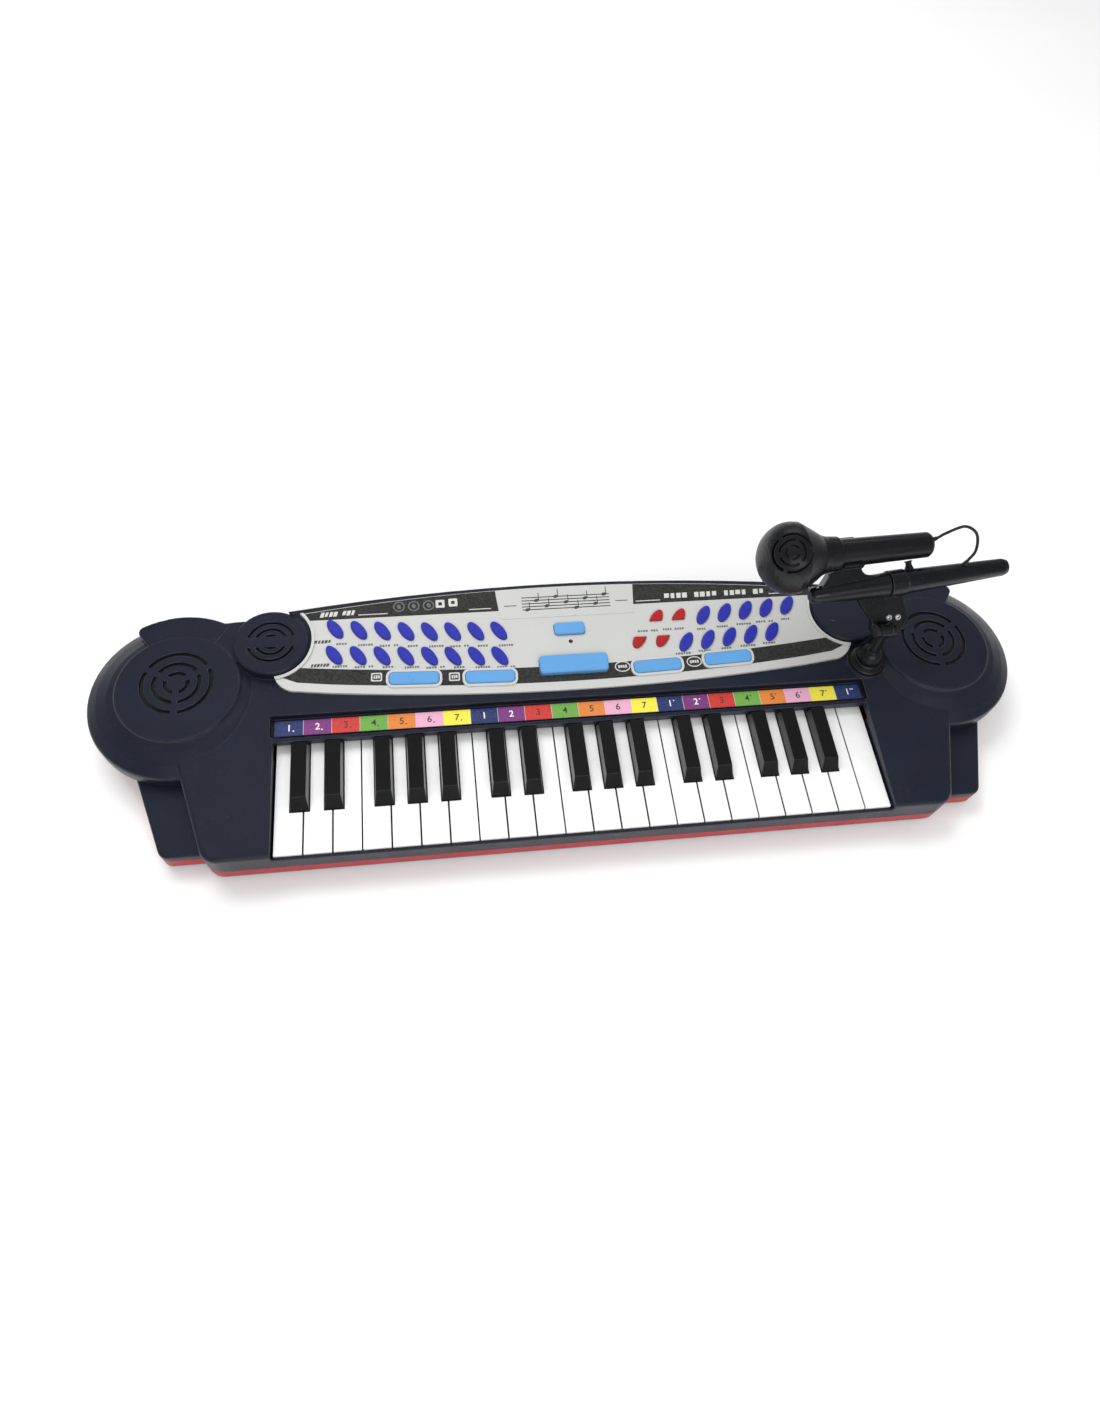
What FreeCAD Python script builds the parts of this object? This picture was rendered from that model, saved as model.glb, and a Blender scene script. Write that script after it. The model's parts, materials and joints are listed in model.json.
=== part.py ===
import FreeCAD, Part
import math
import os

# Toy electronic keyboard with 22 white and 15 black keys, button panel, two speaker pods and a microphone
# on an articulated stand.
# Frame: millimetres, +X to the player's right, +Y away from the player, +Z up. The origin is on the table
# plane, under the rubber foot in the middle of the case. Plan places are given as (kx, ky): kx counts key
# widths from the centre line, ky counts key widths from the front edge of the white keys.

Vec = FreeCAD.Vector
UP = Vec(0, 0, 1)
ALONG_X = Vec(1, 0, 0)
ALONG_Y = Vec(0, 1, 0)

# ---- driving dimensions ----
PITCH = 20.5            # one white key with its gap
WHITE_COUNT = 22
OCTAVE = 7
KEY_FRONT_Y = -95.0
WALL = 2.5
FOOT_H = 2.0
SEAM_Z = 12.9           # joint between the bottom case and the top case
SEAM_GAP = 0.3
WHITE_TOP_Z = 28.3
BLACK_TOP_Z = 37.6

# ---- heights of the top case ----
RAIL_TOP_Z = 26.2
CHEEK_FRONT_Z = 33.4
CHEEK_RISE = 1.4        # for each key width towards the back
DECK_BACK_Z = 42.8
WING_TOP_Z = 19.2
POD_LOW_Z = 19.6
POD_RIM_Z = 33.0
POD_DISC_Z = 46.7
EAR_TOP_Z = 46.5
SADDLE_TOP_Z = 46.2
SIDE_DISC_TOP_Z = 50.4
STRIP_FLOOR_Z = 34.6
RIDGE_TOP_Z = 38.0
BRIDGE_UNDER_Z = 32.3

# ---- plan of the case, in key widths ----
FRONT_KY = -0.1
DECK_REAR_KY = 9.19
CHEEK_KX = 13.25        # where the cheek's side meets the front
CHEEK_SPLAY = 0.289     # how far the side moves out for each key width towards the back
DECK_KX = 14.55
POD_KX = 14.35
POD_KY = 6.4
POD_R = 3.34 * PITCH
POD_BASE_R = 2.82 * PITCH
POD_DISC_R = 2.2 * PITCH
GRILLE_KX = 14.4
GRILLE_KY = 6.57
GRILLE_RINGS = (8.2, 16.4, 25.0)
GRILLE_SLOT_W = 3.0
EAR_R = 3.08 * PITCH
EAR_ANGLES = (57, 123.5)
EAR_CORNER_R = 5.0
SIDE_DISC_KX = 11.12
SIDE_DISC_KY = 8.0
SIDE_DISC_R = 1.38 * PITCH
SIDE_GRILLE_RINGS = (5.6, 11.2, 17.0)
BITE_KY = 8.06          # the bite that the side disc takes out of the control panel
BITE_R = 1.44
WELL_KX = 11.05         # half width of the opening for the keys
WELL_BACK_KY = 4.11
STRIP_FRONT_KY = 4.25
STRIP_BACK_KY = 5.11
STRIP_KX = 11.02
STRIP_SLOT_KX = 11.13

# ---- control panel ----
PANEL_FRONT_KY = 5.39
PANEL_FRONT_Z = 42.6
PANEL_BOW_KX = 9.0      # where the front bow ends
PANEL_BOW_KY = 5.845
PANEL_BACK_KY = 9.74    # middle of the back bow
PANEL_END_KY = 9.1      # ends of the back bow
PANEL_SLOPE_DEG = 7.2
PANEL_T = 2.0
PANEL_ROOF_T = 2.5      # the top case under the panel
BORDER_H = 1.3
REAR_RIM_H = 0.2
CAP_GAP = 0.3
CAP_RISE = 2.2
WEB_DEPTH = 6.2         # from the panel's face down to the rubber web of a keypad
WEB_T = 1.2
BOARD_DEPTH = 10.2
BOARD_T = 1.6

# ---- keys ----
KEY_GAP = 1.1
BLACK_BASE_W = 0.66 * PITCH
BLACK_TOP_W = 0.52 * PITCH
BLACK_CLEAR = 0.6
BLACK_FRONT_KY = 1.6
BLACK_SLOPE_KY = 1.95
BLACK_BACK_KY = 4.07
BLACK_CENTRES = (0.87, 2.05, 3.78, 4.93, 6.10)
KEY_SKIRT_Z = 17.4
KEY_PLATE_T = 2.2
KEY_SIDE_T = 1.3
TAIL_START_KY = 4.7
TAIL_TOP_Z = 27.0
TAIL_LOW_Z = 19.0
TAIL_W = 6.0
PIVOT_KY = 5.8
PIVOT_Z = 20.0
RAIL_R = 2.0
HOOK_BORE_R = 2.05
HOOK_R = 4.2
HOOK_MOUTH_W = 2.6
CONTACT_KY = 3.0
CONTACT_TOP_Z = 14.4
KEY_BOARD_Z = 9.0

# ---- microphone and stand ----
STAND_KX = 11.48
STAND_KY = 5.83
BALL_Z = 50.0
BASE_R = 13.9
BASE_LOW_Z = 42.0
SEAT_LOW_Z = 39.0
SEAT_RIM_Z = 42.7
SPIGOT_R = 8.6
SPIGOT_LOW_Z = 36.0
BALL_R = 10.0
RUN_GAP = 0.06
ELBOW_Y = 2.0           # from the ball's centre to the elbow
ELBOW_Z = 32.0
PIN_R = 2.0
BOOM_Y = 24.2           # from the ball's centre to the boom's centre line
BOOM_Z = 62.0
BOOM_YAW_DEG = 4.8
MIC_YAW_DEG = 3.6
BOOM_PITCH_DEG = 2.4
BOOM_SHIFT_X = 2.0
MIC_Y = 21.7            # from the boom's centre line to the microphone's
MIC_Z = 14.4
MIC_LIFT_GAP = 0.3

# ---- fasteners ----
SCREW_CORE_R = 1.3
SCREW_R = 1.25
SCREW_HEAD_R = 2.9
SCREW_SEAT_Z = 8.0
SCREW_TIP_Z = 24.0
BOSS_R = 4.0

# ---- bottom case ----
DOOR_KX = (-7.5, -1.5)
DOOR_KY = (6.5, 8.7)
DOOR_T = 2.0
DOOR_GAP = 0.3
FLOOR_Z = FOOT_H + WALL
SKIRT_STEP = 1.2

# ---- buttons ----
OVAL_LONG = 0.88 * PITCH
OVAL_WIDE = 0.42 * PITCH
OVAL_TILT_DEG = 57
LEFT_TOP_ROW = [(-8.79 + 0.87 * i, 8.384 - 0.0963 * i + 0.005 * i * i) for i in range(8)]
LEFT_LOW_ROW = [(-8.845 + 0.871 * i, 7.322 - 0.0707 * i + 0.0017 * i * i) for i in range(8)]
RIGHT_TOP_ROW = [(5.327 + 0.86 * i, 8.149 + 0.057 * i) for i in range(5)]
RIGHT_LOW_ROW = [(4.463 + 0.868 * i, 7.04 + 0.057 * i) for i in range(5)]
RED_UPPER = [(3.43, 8.09), (4.32, 8.09)]
RED_LOWER = [(2.67, 7.29), (3.585, 7.29)]
MODE_CENTRES = [(-5.965, 6.205, 2.4), (-3.17, 6.08, 1.6), (3.19, 6.125, -1.6), (5.975, 6.28, -2.4)]
MODE_SIZE = (1.84 * PITCH, 0.5 * PITCH)
START_CENTRE = (0.0, 6.385)
START_SIZE = (2.6 * PITCH, 0.74 * PITCH)
POWER_CENTRE = (0.0, 7.88)
POWER_SIZE = (1.18 * PITCH, 0.5 * PITCH)
LAMP_CENTRE = (0.0, 7.36)
BEZEL_W = 2.2
BEZEL_H = 0.9
CAP_LOW = -WEB_DEPTH - 0.5
PAD_LOW = -WEB_DEPTH - WEB_T - 1.0
PAD_SHRINK = -2.0

# ---- boom and microphone ----
BOOM_ENDS_X = (-67.0, 91.0)
BOOM_NECK_R = 7.6
RING_W = 12.0
RING_R = 10.0
NECK_HALF_W = 4.8
HANDLE_NECK_R = 10.6
HANDLE_TAIL_R = 9.4
NECK_X = -45.0
TAIL_X = 29.0
CRADLE_X = (-43.5, -28.0)
POST_X = 12.5
HEAD_R = 26.5
HEAD_MID_X = -81.5
HEAD_DOME = 24.5
CABLE_R = 1.1


def at(kx, ky, z=0.0):
    return Vec(kx * PITCH, KEY_FRONT_Y + ky * PITCH, z)


# ---- general shapes ----

def rounded_wire(corners):
    """Closed flat outline through corners (point, radius); a radius of 0 keeps the corner sharp."""
    starts = []
    ends = []
    middles = []
    count = len(corners)
    for i in range(count):
        point, radius = corners[i]
        to_last = (corners[i - 1][0] - point).normalize()
        to_next = (corners[(i + 1) % count][0] - point).normalize()
        if radius == 0:
            starts.append(point)
            ends.append(point)
            middles.append(None)
            continue
        half = to_last.getAngle(to_next) / 2
        reach = radius / math.tan(half)
        starts.append(point + to_last * reach)
        ends.append(point + to_next * reach)
        centre = point + (to_last + to_next).normalize() * (radius / math.sin(half))
        middles.append(centre + (point - centre).normalize() * radius)
    edges = []
    for i in range(count):
        if middles[i]:
            edges.append(Part.Arc(starts[i], middles[i], ends[i]).toShape())
        following = starts[(i + 1) % count]
        if (following - ends[i]).Length > 1e-6:
            edges.append(Part.makeLine(ends[i], following))
    return Part.Wire(edges)


def plan_wire(corners):
    """Outline from (kx, ky, radius in mm) corners."""
    return rounded_wire([(at(kx, ky), radius) for kx, ky, radius in corners])


def prism(wire, low_z, high_z):
    face = Part.Face(wire)
    face.translate(Vec(0, 0, low_z))
    return face.extrude(Vec(0, 0, high_z - low_z))


def inset_wire(wire, distance):
    return wire.makeOffset2D(-distance) if distance else wire


def block(x0, x1, y0, y1, z0, z1):
    return Part.makeBox(x1 - x0, y1 - y0, z1 - z0, Vec(x0, y0, z0))


def plan_block(kx0, kx1, ky0, ky1, z0, z1):
    low = at(kx0, ky0, z0)
    high = at(kx1, ky1, z1)
    return block(low.x, high.x, low.y, high.y, low.z, high.z)


def cylinder(centre, radius, height, axis=UP):
    return Part.makeCylinder(radius, height, centre, axis)


def union(shapes):
    shapes = list(shapes)
    whole = shapes[0].multiFuse(shapes[1:]) if len(shapes) > 1 else shapes[0]
    return whole.removeSplitter()


def both_sides(shape):
    return [shape, shape.mirror(Vec(0, 0, 0), ALONG_X)]


def spun(points, centre):
    """Solid of revolution about Z through centre, from (radius, height) points."""
    corners = [Vec(r, 0, z) for r, z in points]
    wire = Part.makePolygon(corners + [corners[0]])
    solid = Part.Face(wire).revolve(Vec(0, 0, 0), UP, 360)
    solid.translate(centre)
    return solid


def arc_slots(centre, rings, width, low_z, high_z, bar_angles, bar_w):
    """Ring-shaped slots, all broken by bars at the same angles."""
    slots = []
    for radius in rings:
        ring = cylinder(centre + Vec(0, 0, low_z), radius + width / 2, high_z - low_z)
        ring = ring.cut(cylinder(centre + Vec(0, 0, low_z), radius - width / 2, high_z - low_z))
        for angle in bar_angles:
            bar = block(0, radius + width, -bar_w / 2, bar_w / 2, low_z, high_z)
            bar.rotate(Vec(0, 0, 0), UP, angle)
            bar.translate(centre)
            ring = ring.cut(bar)
        slots.append(ring)
    return Part.makeCompound(slots)


# ---- outlines of the case ----

def deck_wire():
    side_back = DECK_KX
    side_turn_ky = FRONT_KY + (DECK_KX - CHEEK_KX) / CHEEK_SPLAY
    corner = 0.65 * PITCH
    return plan_wire([
        (-CHEEK_KX, FRONT_KY, corner),
        (CHEEK_KX, FRONT_KY, corner),
        (side_back, side_turn_ky, 0),
        (side_back, DECK_REAR_KY, 6),
        (-side_back, DECK_REAR_KY, 6),
        (-side_back, side_turn_ky, 0),
    ])


def wing_wire():
    return plan_wire([
        (-14.82, 0.44, 0.4 * PITCH),
        (-12.8, 0.44, 0),
        (-12.8, 4.6, 0),
        (-15.0, 5.2, 0),
        (-15.93, 3.63, 0),
    ])


def panel_edges(front_shift, side_gap, back_shift):
    """Edges of the control panel's outline: two long bows and a bite round each side disc."""
    bite_r = BITE_R + side_gap
    tip_angle = math.radians(-85)
    tip = (SIDE_DISC_KX - bite_r * math.cos(tip_angle), BITE_KY + bite_r * math.sin(tip_angle))
    back_ky = PANEL_END_KY + back_shift
    back_angle = math.asin((back_ky - BITE_KY) / bite_r)
    back = (SIDE_DISC_KX - bite_r * math.cos(back_angle), back_ky)
    waist = (SIDE_DISC_KX - bite_r, BITE_KY)
    shoulder = (10.18, 5.995 + front_shift)
    bend = (10.8, 6.26 + front_shift * 0.9)
    edges = []
    bow = (PANEL_BOW_KX, PANEL_BOW_KY + front_shift)
    edges.append(Part.Arc(at(-bow[0], bow[1]), at(0, PANEL_FRONT_KY + front_shift), at(*bow)))
    edges.append(Part.LineSegment(at(*bow), at(*shoulder)))
    edges.append(Part.Arc(at(*shoulder), at(*bend), at(*tip)))
    edges.append(Part.Arc(at(*tip), at(*waist), at(*back)))
    edges.append(Part.Arc(at(*back), at(0, PANEL_BACK_KY + back_shift), at(-back[0], back[1])))
    edges.append(Part.Arc(at(-back[0], back[1]), at(-waist[0], waist[1]), at(-tip[0], tip[1])))
    edges.append(Part.Arc(at(-tip[0], tip[1]), at(-bend[0], bend[1]), at(-shoulder[0], shoulder[1])))
    edges.append(Part.LineSegment(at(-shoulder[0], shoulder[1]), at(-bow[0], bow[1])))
    return edges


def panel_wire(front_shift=0.0, side_gap=0.04, back_shift=0.0):
    return Part.Wire([edge.toShape() for edge in panel_edges(front_shift, side_gap, back_shift)])


def panel_height(ky):
    return PANEL_FRONT_Z + (ky - PANEL_FRONT_KY) * PITCH * math.tan(math.radians(PANEL_SLOPE_DEG))


def panel_place(kx, ky, depth=0.0):
    """Placement on the sloping panel face at (kx, ky), its own Z along the face's normal."""
    turn = FreeCAD.Rotation(ALONG_X, PANEL_SLOPE_DEG)
    spot = at(kx, ky, panel_height(ky)) - turn.multVec(UP) * depth
    return FreeCAD.Placement(spot, turn)


def panel_slab(top_offset, bottom_offset):
    """Everything between two planes parallel to the panel's face, wide enough for the whole case."""
    reach = 20 * PITCH
    slab = block(-reach, reach, -reach, reach, bottom_offset, top_offset)
    slab.Placement = panel_place(0, PANEL_FRONT_KY)
    return slab


# ---- top case ----

def deck_profile(drop):
    """Side view of the deck's upper surface, lowered by drop, as a solid across the whole width."""
    line = [
        (-2, CHEEK_FRONT_Z - CHEEK_RISE * 2),
        (4.4, CHEEK_FRONT_Z + CHEEK_RISE * 4.4),
        (5.3, 41.0),
        (DECK_REAR_KY + 1, DECK_BACK_Z + 0.4),
    ]
    points = [at(0, ky, z - drop) for ky, z in line]
    points.append(at(0, DECK_REAR_KY + 1, 0))
    points.append(at(0, -2, 0))
    face = Part.Face(Part.makePolygon(points + [points[0]]))
    reach = 20 * PITCH
    face.translate(Vec(-reach, 0, 0))
    return face.extrude(Vec(2 * reach, 0, 0))


def deck_solid(inset, low_z):
    tall = prism(inset_wire(deck_wire(), inset), low_z, 70)
    return tall.common(deck_profile(inset))


def front_deck_wire():
    side_turn_ky = FRONT_KY + (DECK_KX - CHEEK_KX) / CHEEK_SPLAY
    corner = 0.65 * PITCH
    return plan_wire([
        (-CHEEK_KX, FRONT_KY, corner),
        (CHEEK_KX, FRONT_KY, corner),
        (DECK_KX, side_turn_ky, 0),
        (DECK_KX - 1, side_turn_ky + 0.9, 0),
        (1 - DECK_KX, side_turn_ky + 0.9, 0),
        (-DECK_KX, side_turn_ky, 0),
    ])


def front_slope():
    """Everything below the plane of the cheeks, which rises from the front to the note strip."""
    points = [at(0, -2, CHEEK_FRONT_Z - CHEEK_RISE * 2), at(0, 7, CHEEK_FRONT_Z + CHEEK_RISE * 7),
              at(0, 7, 0), at(0, -2, 0)]
    face = Part.Face(Part.makePolygon(points + [points[0]]))
    reach = 20 * PITCH
    face.translate(Vec(-reach, 0, 0))
    return face.extrude(Vec(2 * reach, 0, 0))


def rounded_deck(low_z):
    """The deck with its upper edge rounded at the front and round both cheeks."""
    front = prism(front_deck_wire(), low_z, 70).common(front_slope())
    rim = [edge for edge in front.Edges
           if edge.BoundBox.ZMin > CHEEK_FRONT_Z - 1 and edge.BoundBox.YMin < at(0, 4).y]
    return front.makeFillet(3.5, rim).fuse(deck_solid(0.0, low_z).cut(plan_block(-20, 20, -1, 4.4, 0, 80)))


def plinth_solid(inset, low_z):
    """Raised block that carries the control panel."""
    wire = panel_wire(-0.02, -0.12, 0.12)
    tall = prism(inset_wire(wire, inset), low_z, 80)
    return tall.common(panel_slab(-PANEL_T - inset, -60))


def pod_profile(inset):
    rim_drop = inset * 0.6
    return [
        (0, POD_LOW_Z + (0 if inset == 0 else -9)),
        (POD_BASE_R - inset, POD_LOW_Z + (0 if inset == 0 else -9)),
        (POD_BASE_R - inset, POD_LOW_Z + inset),
        (POD_R - inset - 1.5, POD_LOW_Z + inset),
        (POD_R - inset, POD_LOW_Z + 2 + inset),
        (POD_R - inset, POD_RIM_Z - 2.5 - rim_drop),
        (POD_R - inset - 0.8, POD_RIM_Z - 0.7 - rim_drop),
        (POD_R - inset - 3, POD_RIM_Z + 0.8 - rim_drop),
        (POD_R - inset - 8, POD_RIM_Z + 4.0 - inset),
        (POD_DISC_R + 6, POD_RIM_Z + 9.0 - inset),
        (POD_DISC_R - inset + 1.2, POD_RIM_Z + 10.9 - inset),
        (POD_DISC_R - inset, POD_RIM_Z + 11.6 - inset),
        (POD_DISC_R - inset, POD_DISC_Z - 1.4 - inset),
        (POD_DISC_R - inset - 0.4, POD_DISC_Z - 0.5 - inset),
        (POD_DISC_R - inset - 1.5, POD_DISC_Z - inset),
        (0, POD_DISC_Z - inset),
    ]


def pod_solid(inset):
    return spun(pod_profile(inset), at(-POD_KX, POD_KY))


def ear_wire(reach):
    """Sector of a circle about the pod's centre, with its outer corner at the side rounded."""
    centre = at(-POD_KX, POD_KY)

    def polar(radius, angle):
        turned = math.radians(angle)
        return centre + Vec(math.cos(turned), math.sin(turned), 0) * radius

    inner = EAR_ANGLES[0]
    outer = EAR_ANGLES[1]
    corner_reach = reach - EAR_CORNER_R
    corner_angle = math.degrees(math.asin(EAR_CORNER_R / corner_reach))
    corner_start = outer - corner_angle
    corner_centre = polar(corner_reach, corner_start)
    halfway = polar(EAR_CORNER_R, corner_start + (90 + corner_angle) / 2) - centre
    corner_end = polar(math.sqrt(corner_reach ** 2 - EAR_CORNER_R ** 2), outer)
    edges = [
        Part.LineSegment(centre, polar(reach, inner)),
        Part.Arc(polar(reach, inner), polar(reach, (inner + corner_start) / 2), polar(reach, corner_start)),
        Part.Arc(polar(reach, corner_start), corner_centre + halfway, corner_end),
        Part.LineSegment(corner_end, centre),
    ]
    return Part.Wire([edge.toShape() for edge in edges])


def ear_solid(inset, low_z):
    """Raised flange round the back of a speaker pod."""
    ear = prism(ear_wire(EAR_R - inset), low_z, EAR_TOP_Z - inset)
    if inset:
        return ear
    top = [edge for edge in ear.Edges
           if edge.BoundBox.ZMin > EAR_TOP_Z - 0.1 and not isinstance(edge.Curve, Part.Line)]
    return ear.makeFillet(1.8, top)


def saddle_solid(inset, low_z):
    """Raised plate that joins a pod's disc, its ear and the side disc in one surface."""
    corners = [(-POD_KX, POD_KY), (-12.36, 7.34), (-SIDE_DISC_KX, SIDE_DISC_KY), (-11.3, 9.12),
               (-12.4, 9.1), (-13.1, 9.04)]
    wire = plan_wire([(kx, ky, 0) for kx, ky in corners])
    return prism(inset_wire(wire, inset), low_z, SADDLE_TOP_Z - inset)


def side_disc(inset, low_z):
    disc = cylinder(at(-SIDE_DISC_KX, SIDE_DISC_KY, low_z), SIDE_DISC_R - inset,
                    SIDE_DISC_TOP_Z - inset - low_z)
    if inset:
        return disc
    top = [edge for edge in disc.Edges if edge.BoundBox.ZMin > SIDE_DISC_TOP_Z - 1]
    return disc.makeFillet(1.8, top)


def wing_solid(inset, low_z):
    wing = prism(inset_wire(wing_wire(), inset), low_z, WING_TOP_Z - inset)
    if inset:
        return wing
    top = [edge for edge in wing.Edges
           if edge.BoundBox.ZMin > WING_TOP_Z - 1 and edge.BoundBox.XMax < at(-14.5, 0).x]
    return wing.makeFillet(1.6, top)


def outer_body(low_z):
    sides = []
    for part in (wing_solid(0, low_z), pod_solid(0), ear_solid(0, low_z), saddle_solid(0, low_z),
                 side_disc(0, low_z)):
        sides.extend(both_sides(part))
    pod_foot = cylinder(at(-POD_KX, POD_KY, low_z), POD_BASE_R, POD_LOW_Z + 1 - low_z)
    sides.extend(both_sides(pod_foot))
    return union([rounded_deck(low_z), plinth_solid(0, low_z)] + sides)


def inner_body(low_z):
    """The hollow of the top case, without the key well."""
    left = []
    for part in (
        wing_solid(WALL, low_z),
        pod_solid(WALL),
        ear_solid(WALL, low_z),
        saddle_solid(WALL, low_z),
        side_disc(WALL, low_z),
    ):
        left.extend(both_sides(part))
    deck = deck_solid(WALL, low_z)
    well_x = WELL_KX + WALL / PITCH
    deck = deck.cut(plan_block(-well_x, well_x, FRONT_KY - 1, STRIP_BACK_KY + 0.12, low_z - 1, 80))
    under_bridge = plan_block(-well_x, well_x, WELL_BACK_KY - 0.5, STRIP_BACK_KY + 0.2, low_z,
                              BRIDGE_UNDER_Z)
    return union([deck, plinth_solid(WALL, low_z), under_bridge] + left)


def rear_rim():
    """Narrow rim of the case that stands behind the faceplate's back edge."""
    rim = prism(panel_wire(-0.02, -0.12, 0.12), 20, 90).common(panel_slab(REAR_RIM_H, -PANEL_T - 1))
    return rim.cut(prism(panel_wire(-0.5, -0.2, 0.012), 19, 91))


def key_well():
    return plan_block(-WELL_KX, WELL_KX, 0, WELL_BACK_KY, 0, 80)


def top_case():
    low_z = SEAM_Z + SEAM_GAP
    outer = outer_body(low_z)
    case = outer.cut(inner_body(low_z - 20).common(block(-500, 500, -200, 200, low_z - 1, 90)))
    case = case.cut(key_well())
    front_notch = plan_block(-WELL_KX, WELL_KX, FRONT_KY - 1, 0.01, RAIL_TOP_Z, 80)
    strip_slot = plan_block(-STRIP_SLOT_KX, STRIP_SLOT_KX, STRIP_FRONT_KY, STRIP_BACK_KY, STRIP_FLOOR_Z, 80)
    ridge_cut = plan_block(-WELL_KX, WELL_KX, WELL_BACK_KY - 0.1, STRIP_FRONT_KY + 0.01, RIDGE_TOP_Z, 80)
    case = case.cut(union([front_notch, strip_slot, ridge_cut]))
    pocket = prism(panel_wire(-0.01, 0.03, 0.01), 20, 90).common(panel_slab(60, -PANEL_T))
    case = case.cut(pocket).fuse(rear_rim())
    for shape in panel_holes(CAP_GAP + 0.2):
        case = case.cut(shape)
    for kx in (-GRILLE_KX, GRILLE_KX):
        case = case.cut(arc_slots(at(kx, GRILLE_KY), GRILLE_RINGS, GRILLE_SLOT_W, POD_DISC_Z - 6,
                                  POD_DISC_Z + 5, (30, 150, 270), 4.2))
    case = case.cut(arc_slots(at(-SIDE_DISC_KX, SIDE_DISC_KY), SIDE_GRILLE_RINGS, 2.2,
                              SIDE_DISC_TOP_Z - 6, SIDE_DISC_TOP_Z + 5, (0, 180), 9.0))
    bosses = Part.makeCompound([screw_boss(spot) for spot in screw_spots()])
    case = case.multiFuse(bosses.common(outer).Solids)
    for spot in screw_spots():
        case = case.cut(cylinder(spot + Vec(0, 0, low_z - 1), SCREW_CORE_R, 13))
    seat = cylinder(at(STAND_KX, STAND_KY, SEAT_LOW_Z), BASE_R + 1.8, SEAT_RIM_Z - SEAT_LOW_Z)
    case = case.fuse(seat)
    case = case.cut(cylinder(at(STAND_KX, STAND_KY, BASE_LOW_Z - 0.1), BASE_R + 0.4, 20))
    case = case.cut(stand_socket_hole())
    return case.removeSplitter()


# ---- fasteners ----


def screw_spots():
    front = [at(kx, 2.0) for kx in (-12.4, 12.4)]
    middle = [at(kx, 6.9) for kx in (-16.6, -12.3, 12.3, 16.6)]
    back = [at(-5.8, 9.22), at(0, 9.36), at(5.8, 9.22)]
    return front + middle + back


def screw_boss(spot):
    """Hollow post that hangs in the top case and takes a case screw."""
    return cylinder(spot + Vec(0, 0, SEAM_Z + SEAM_GAP), BOSS_R, 60)


def case_screws():
    """Pan-head screws driven from below, each with a cross recess."""
    screws = []
    for spot in screw_spots():
        head = cylinder(spot + Vec(0, 0, SCREW_SEAT_Z - 2.0), SCREW_HEAD_R, 2.0)
        shank = cylinder(spot + Vec(0, 0, SCREW_SEAT_Z - 0.1), SCREW_R, SCREW_TIP_Z - SCREW_SEAT_Z)
        screw = head.fuse(shank)
        for across, along in ((0.4, 1.9), (1.9, 0.4)):
            slot = block(-across, across, -along, along, SCREW_SEAT_Z - 3, SCREW_SEAT_Z - 0.9)
            slot.translate(spot)
            screw = screw.cut(slot)
        screws.append(screw.removeSplitter())
    return Part.makeCompound(screws)


# ---- bottom case ----


def tray_body(inset, low_z, high_z):
    parts = [prism(inset_wire(deck_wire(), inset), low_z, high_z)]
    arch = inset_wire(panel_wire(-0.02, -0.12, 0.12), inset)
    parts.append(prism(arch, low_z, high_z))
    wing = prism(inset_wire(wing_wire(), inset), low_z, high_z)
    pod = cylinder(at(-POD_KX, POD_KY, low_z), POD_BASE_R - inset, high_z - low_z)
    ear = ear_solid(inset, low_z).common(block(-500, 500, -200, 200, low_z, high_z))
    for part in (wing, pod, ear):
        parts.extend(both_sides(part))
    return union(parts)


def key_rail():
    """Round bead along the top of a rib; every key's hook snaps over it and turns on it."""
    half = 11.05
    rail = cylinder(at(-half, PIVOT_KY, PIVOT_Z), RAIL_R, 2 * half * PITCH, ALONG_X)
    centre = at(0, PIVOT_KY)
    rib = block(-half * PITCH, half * PITCH, centre.y - 0.8, centre.y + 0.8, FLOOR_Z - 0.5, PIVOT_Z)
    return rail.fuse(rib)


def battery_walls():
    x0, x1 = DOOR_KX
    y0, y1 = DOOR_KY
    outer = plan_block(x0 - 0.12, x1 + 0.12, y0 - 0.12, y1 + 0.12, FLOOR_Z - 0.5, 24)
    return outer.cut(plan_block(x0, x1, y0, y1, 0, 22))


def bottom_case():
    tray = tray_body(0, FOOT_H + SKIRT_STEP, SEAM_Z).fuse(tray_body(SKIRT_STEP, FOOT_H, SEAM_Z - 2))
    tray = tray.cut(tray_body(WALL, FLOOR_Z, SEAM_Z + 1))
    posts = [cylinder(spot + Vec(0, 0, FLOOR_Z - 0.5), BOSS_R + 1.2, SEAM_Z - FLOOR_Z + 0.4)
             for spot in screw_spots()]
    stand_offs = [cylinder(at(kx, ky, FLOOR_Z - 0.5), 3.0, KEY_BOARD_Z - FLOOR_Z + 0.4)
                  for kx in (-9.5, -3.2, 3.2, 9.5) for ky in (2.1, 3.9)]
    tray = union([tray, key_rail(), battery_walls()] + posts + stand_offs)
    for spot in screw_spots():
        tray = tray.cut(cylinder(spot, SCREW_HEAD_R + 0.5, SCREW_SEAT_Z))
        tray = tray.cut(cylinder(spot, SCREW_R + 0.25, SEAM_Z + 1))
    x0, x1 = DOOR_KX
    y0, y1 = DOOR_KY
    tray = tray.cut(plan_block(x0, x1, y0, y1, 0, FLOOR_Z + 1))
    step = 0.15
    tray = tray.cut(plan_block(x0 - step, x1 + step, y0 - step, y1 + step, 0, FOOT_H + DOOR_T))
    return tray.removeSplitter()


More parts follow.
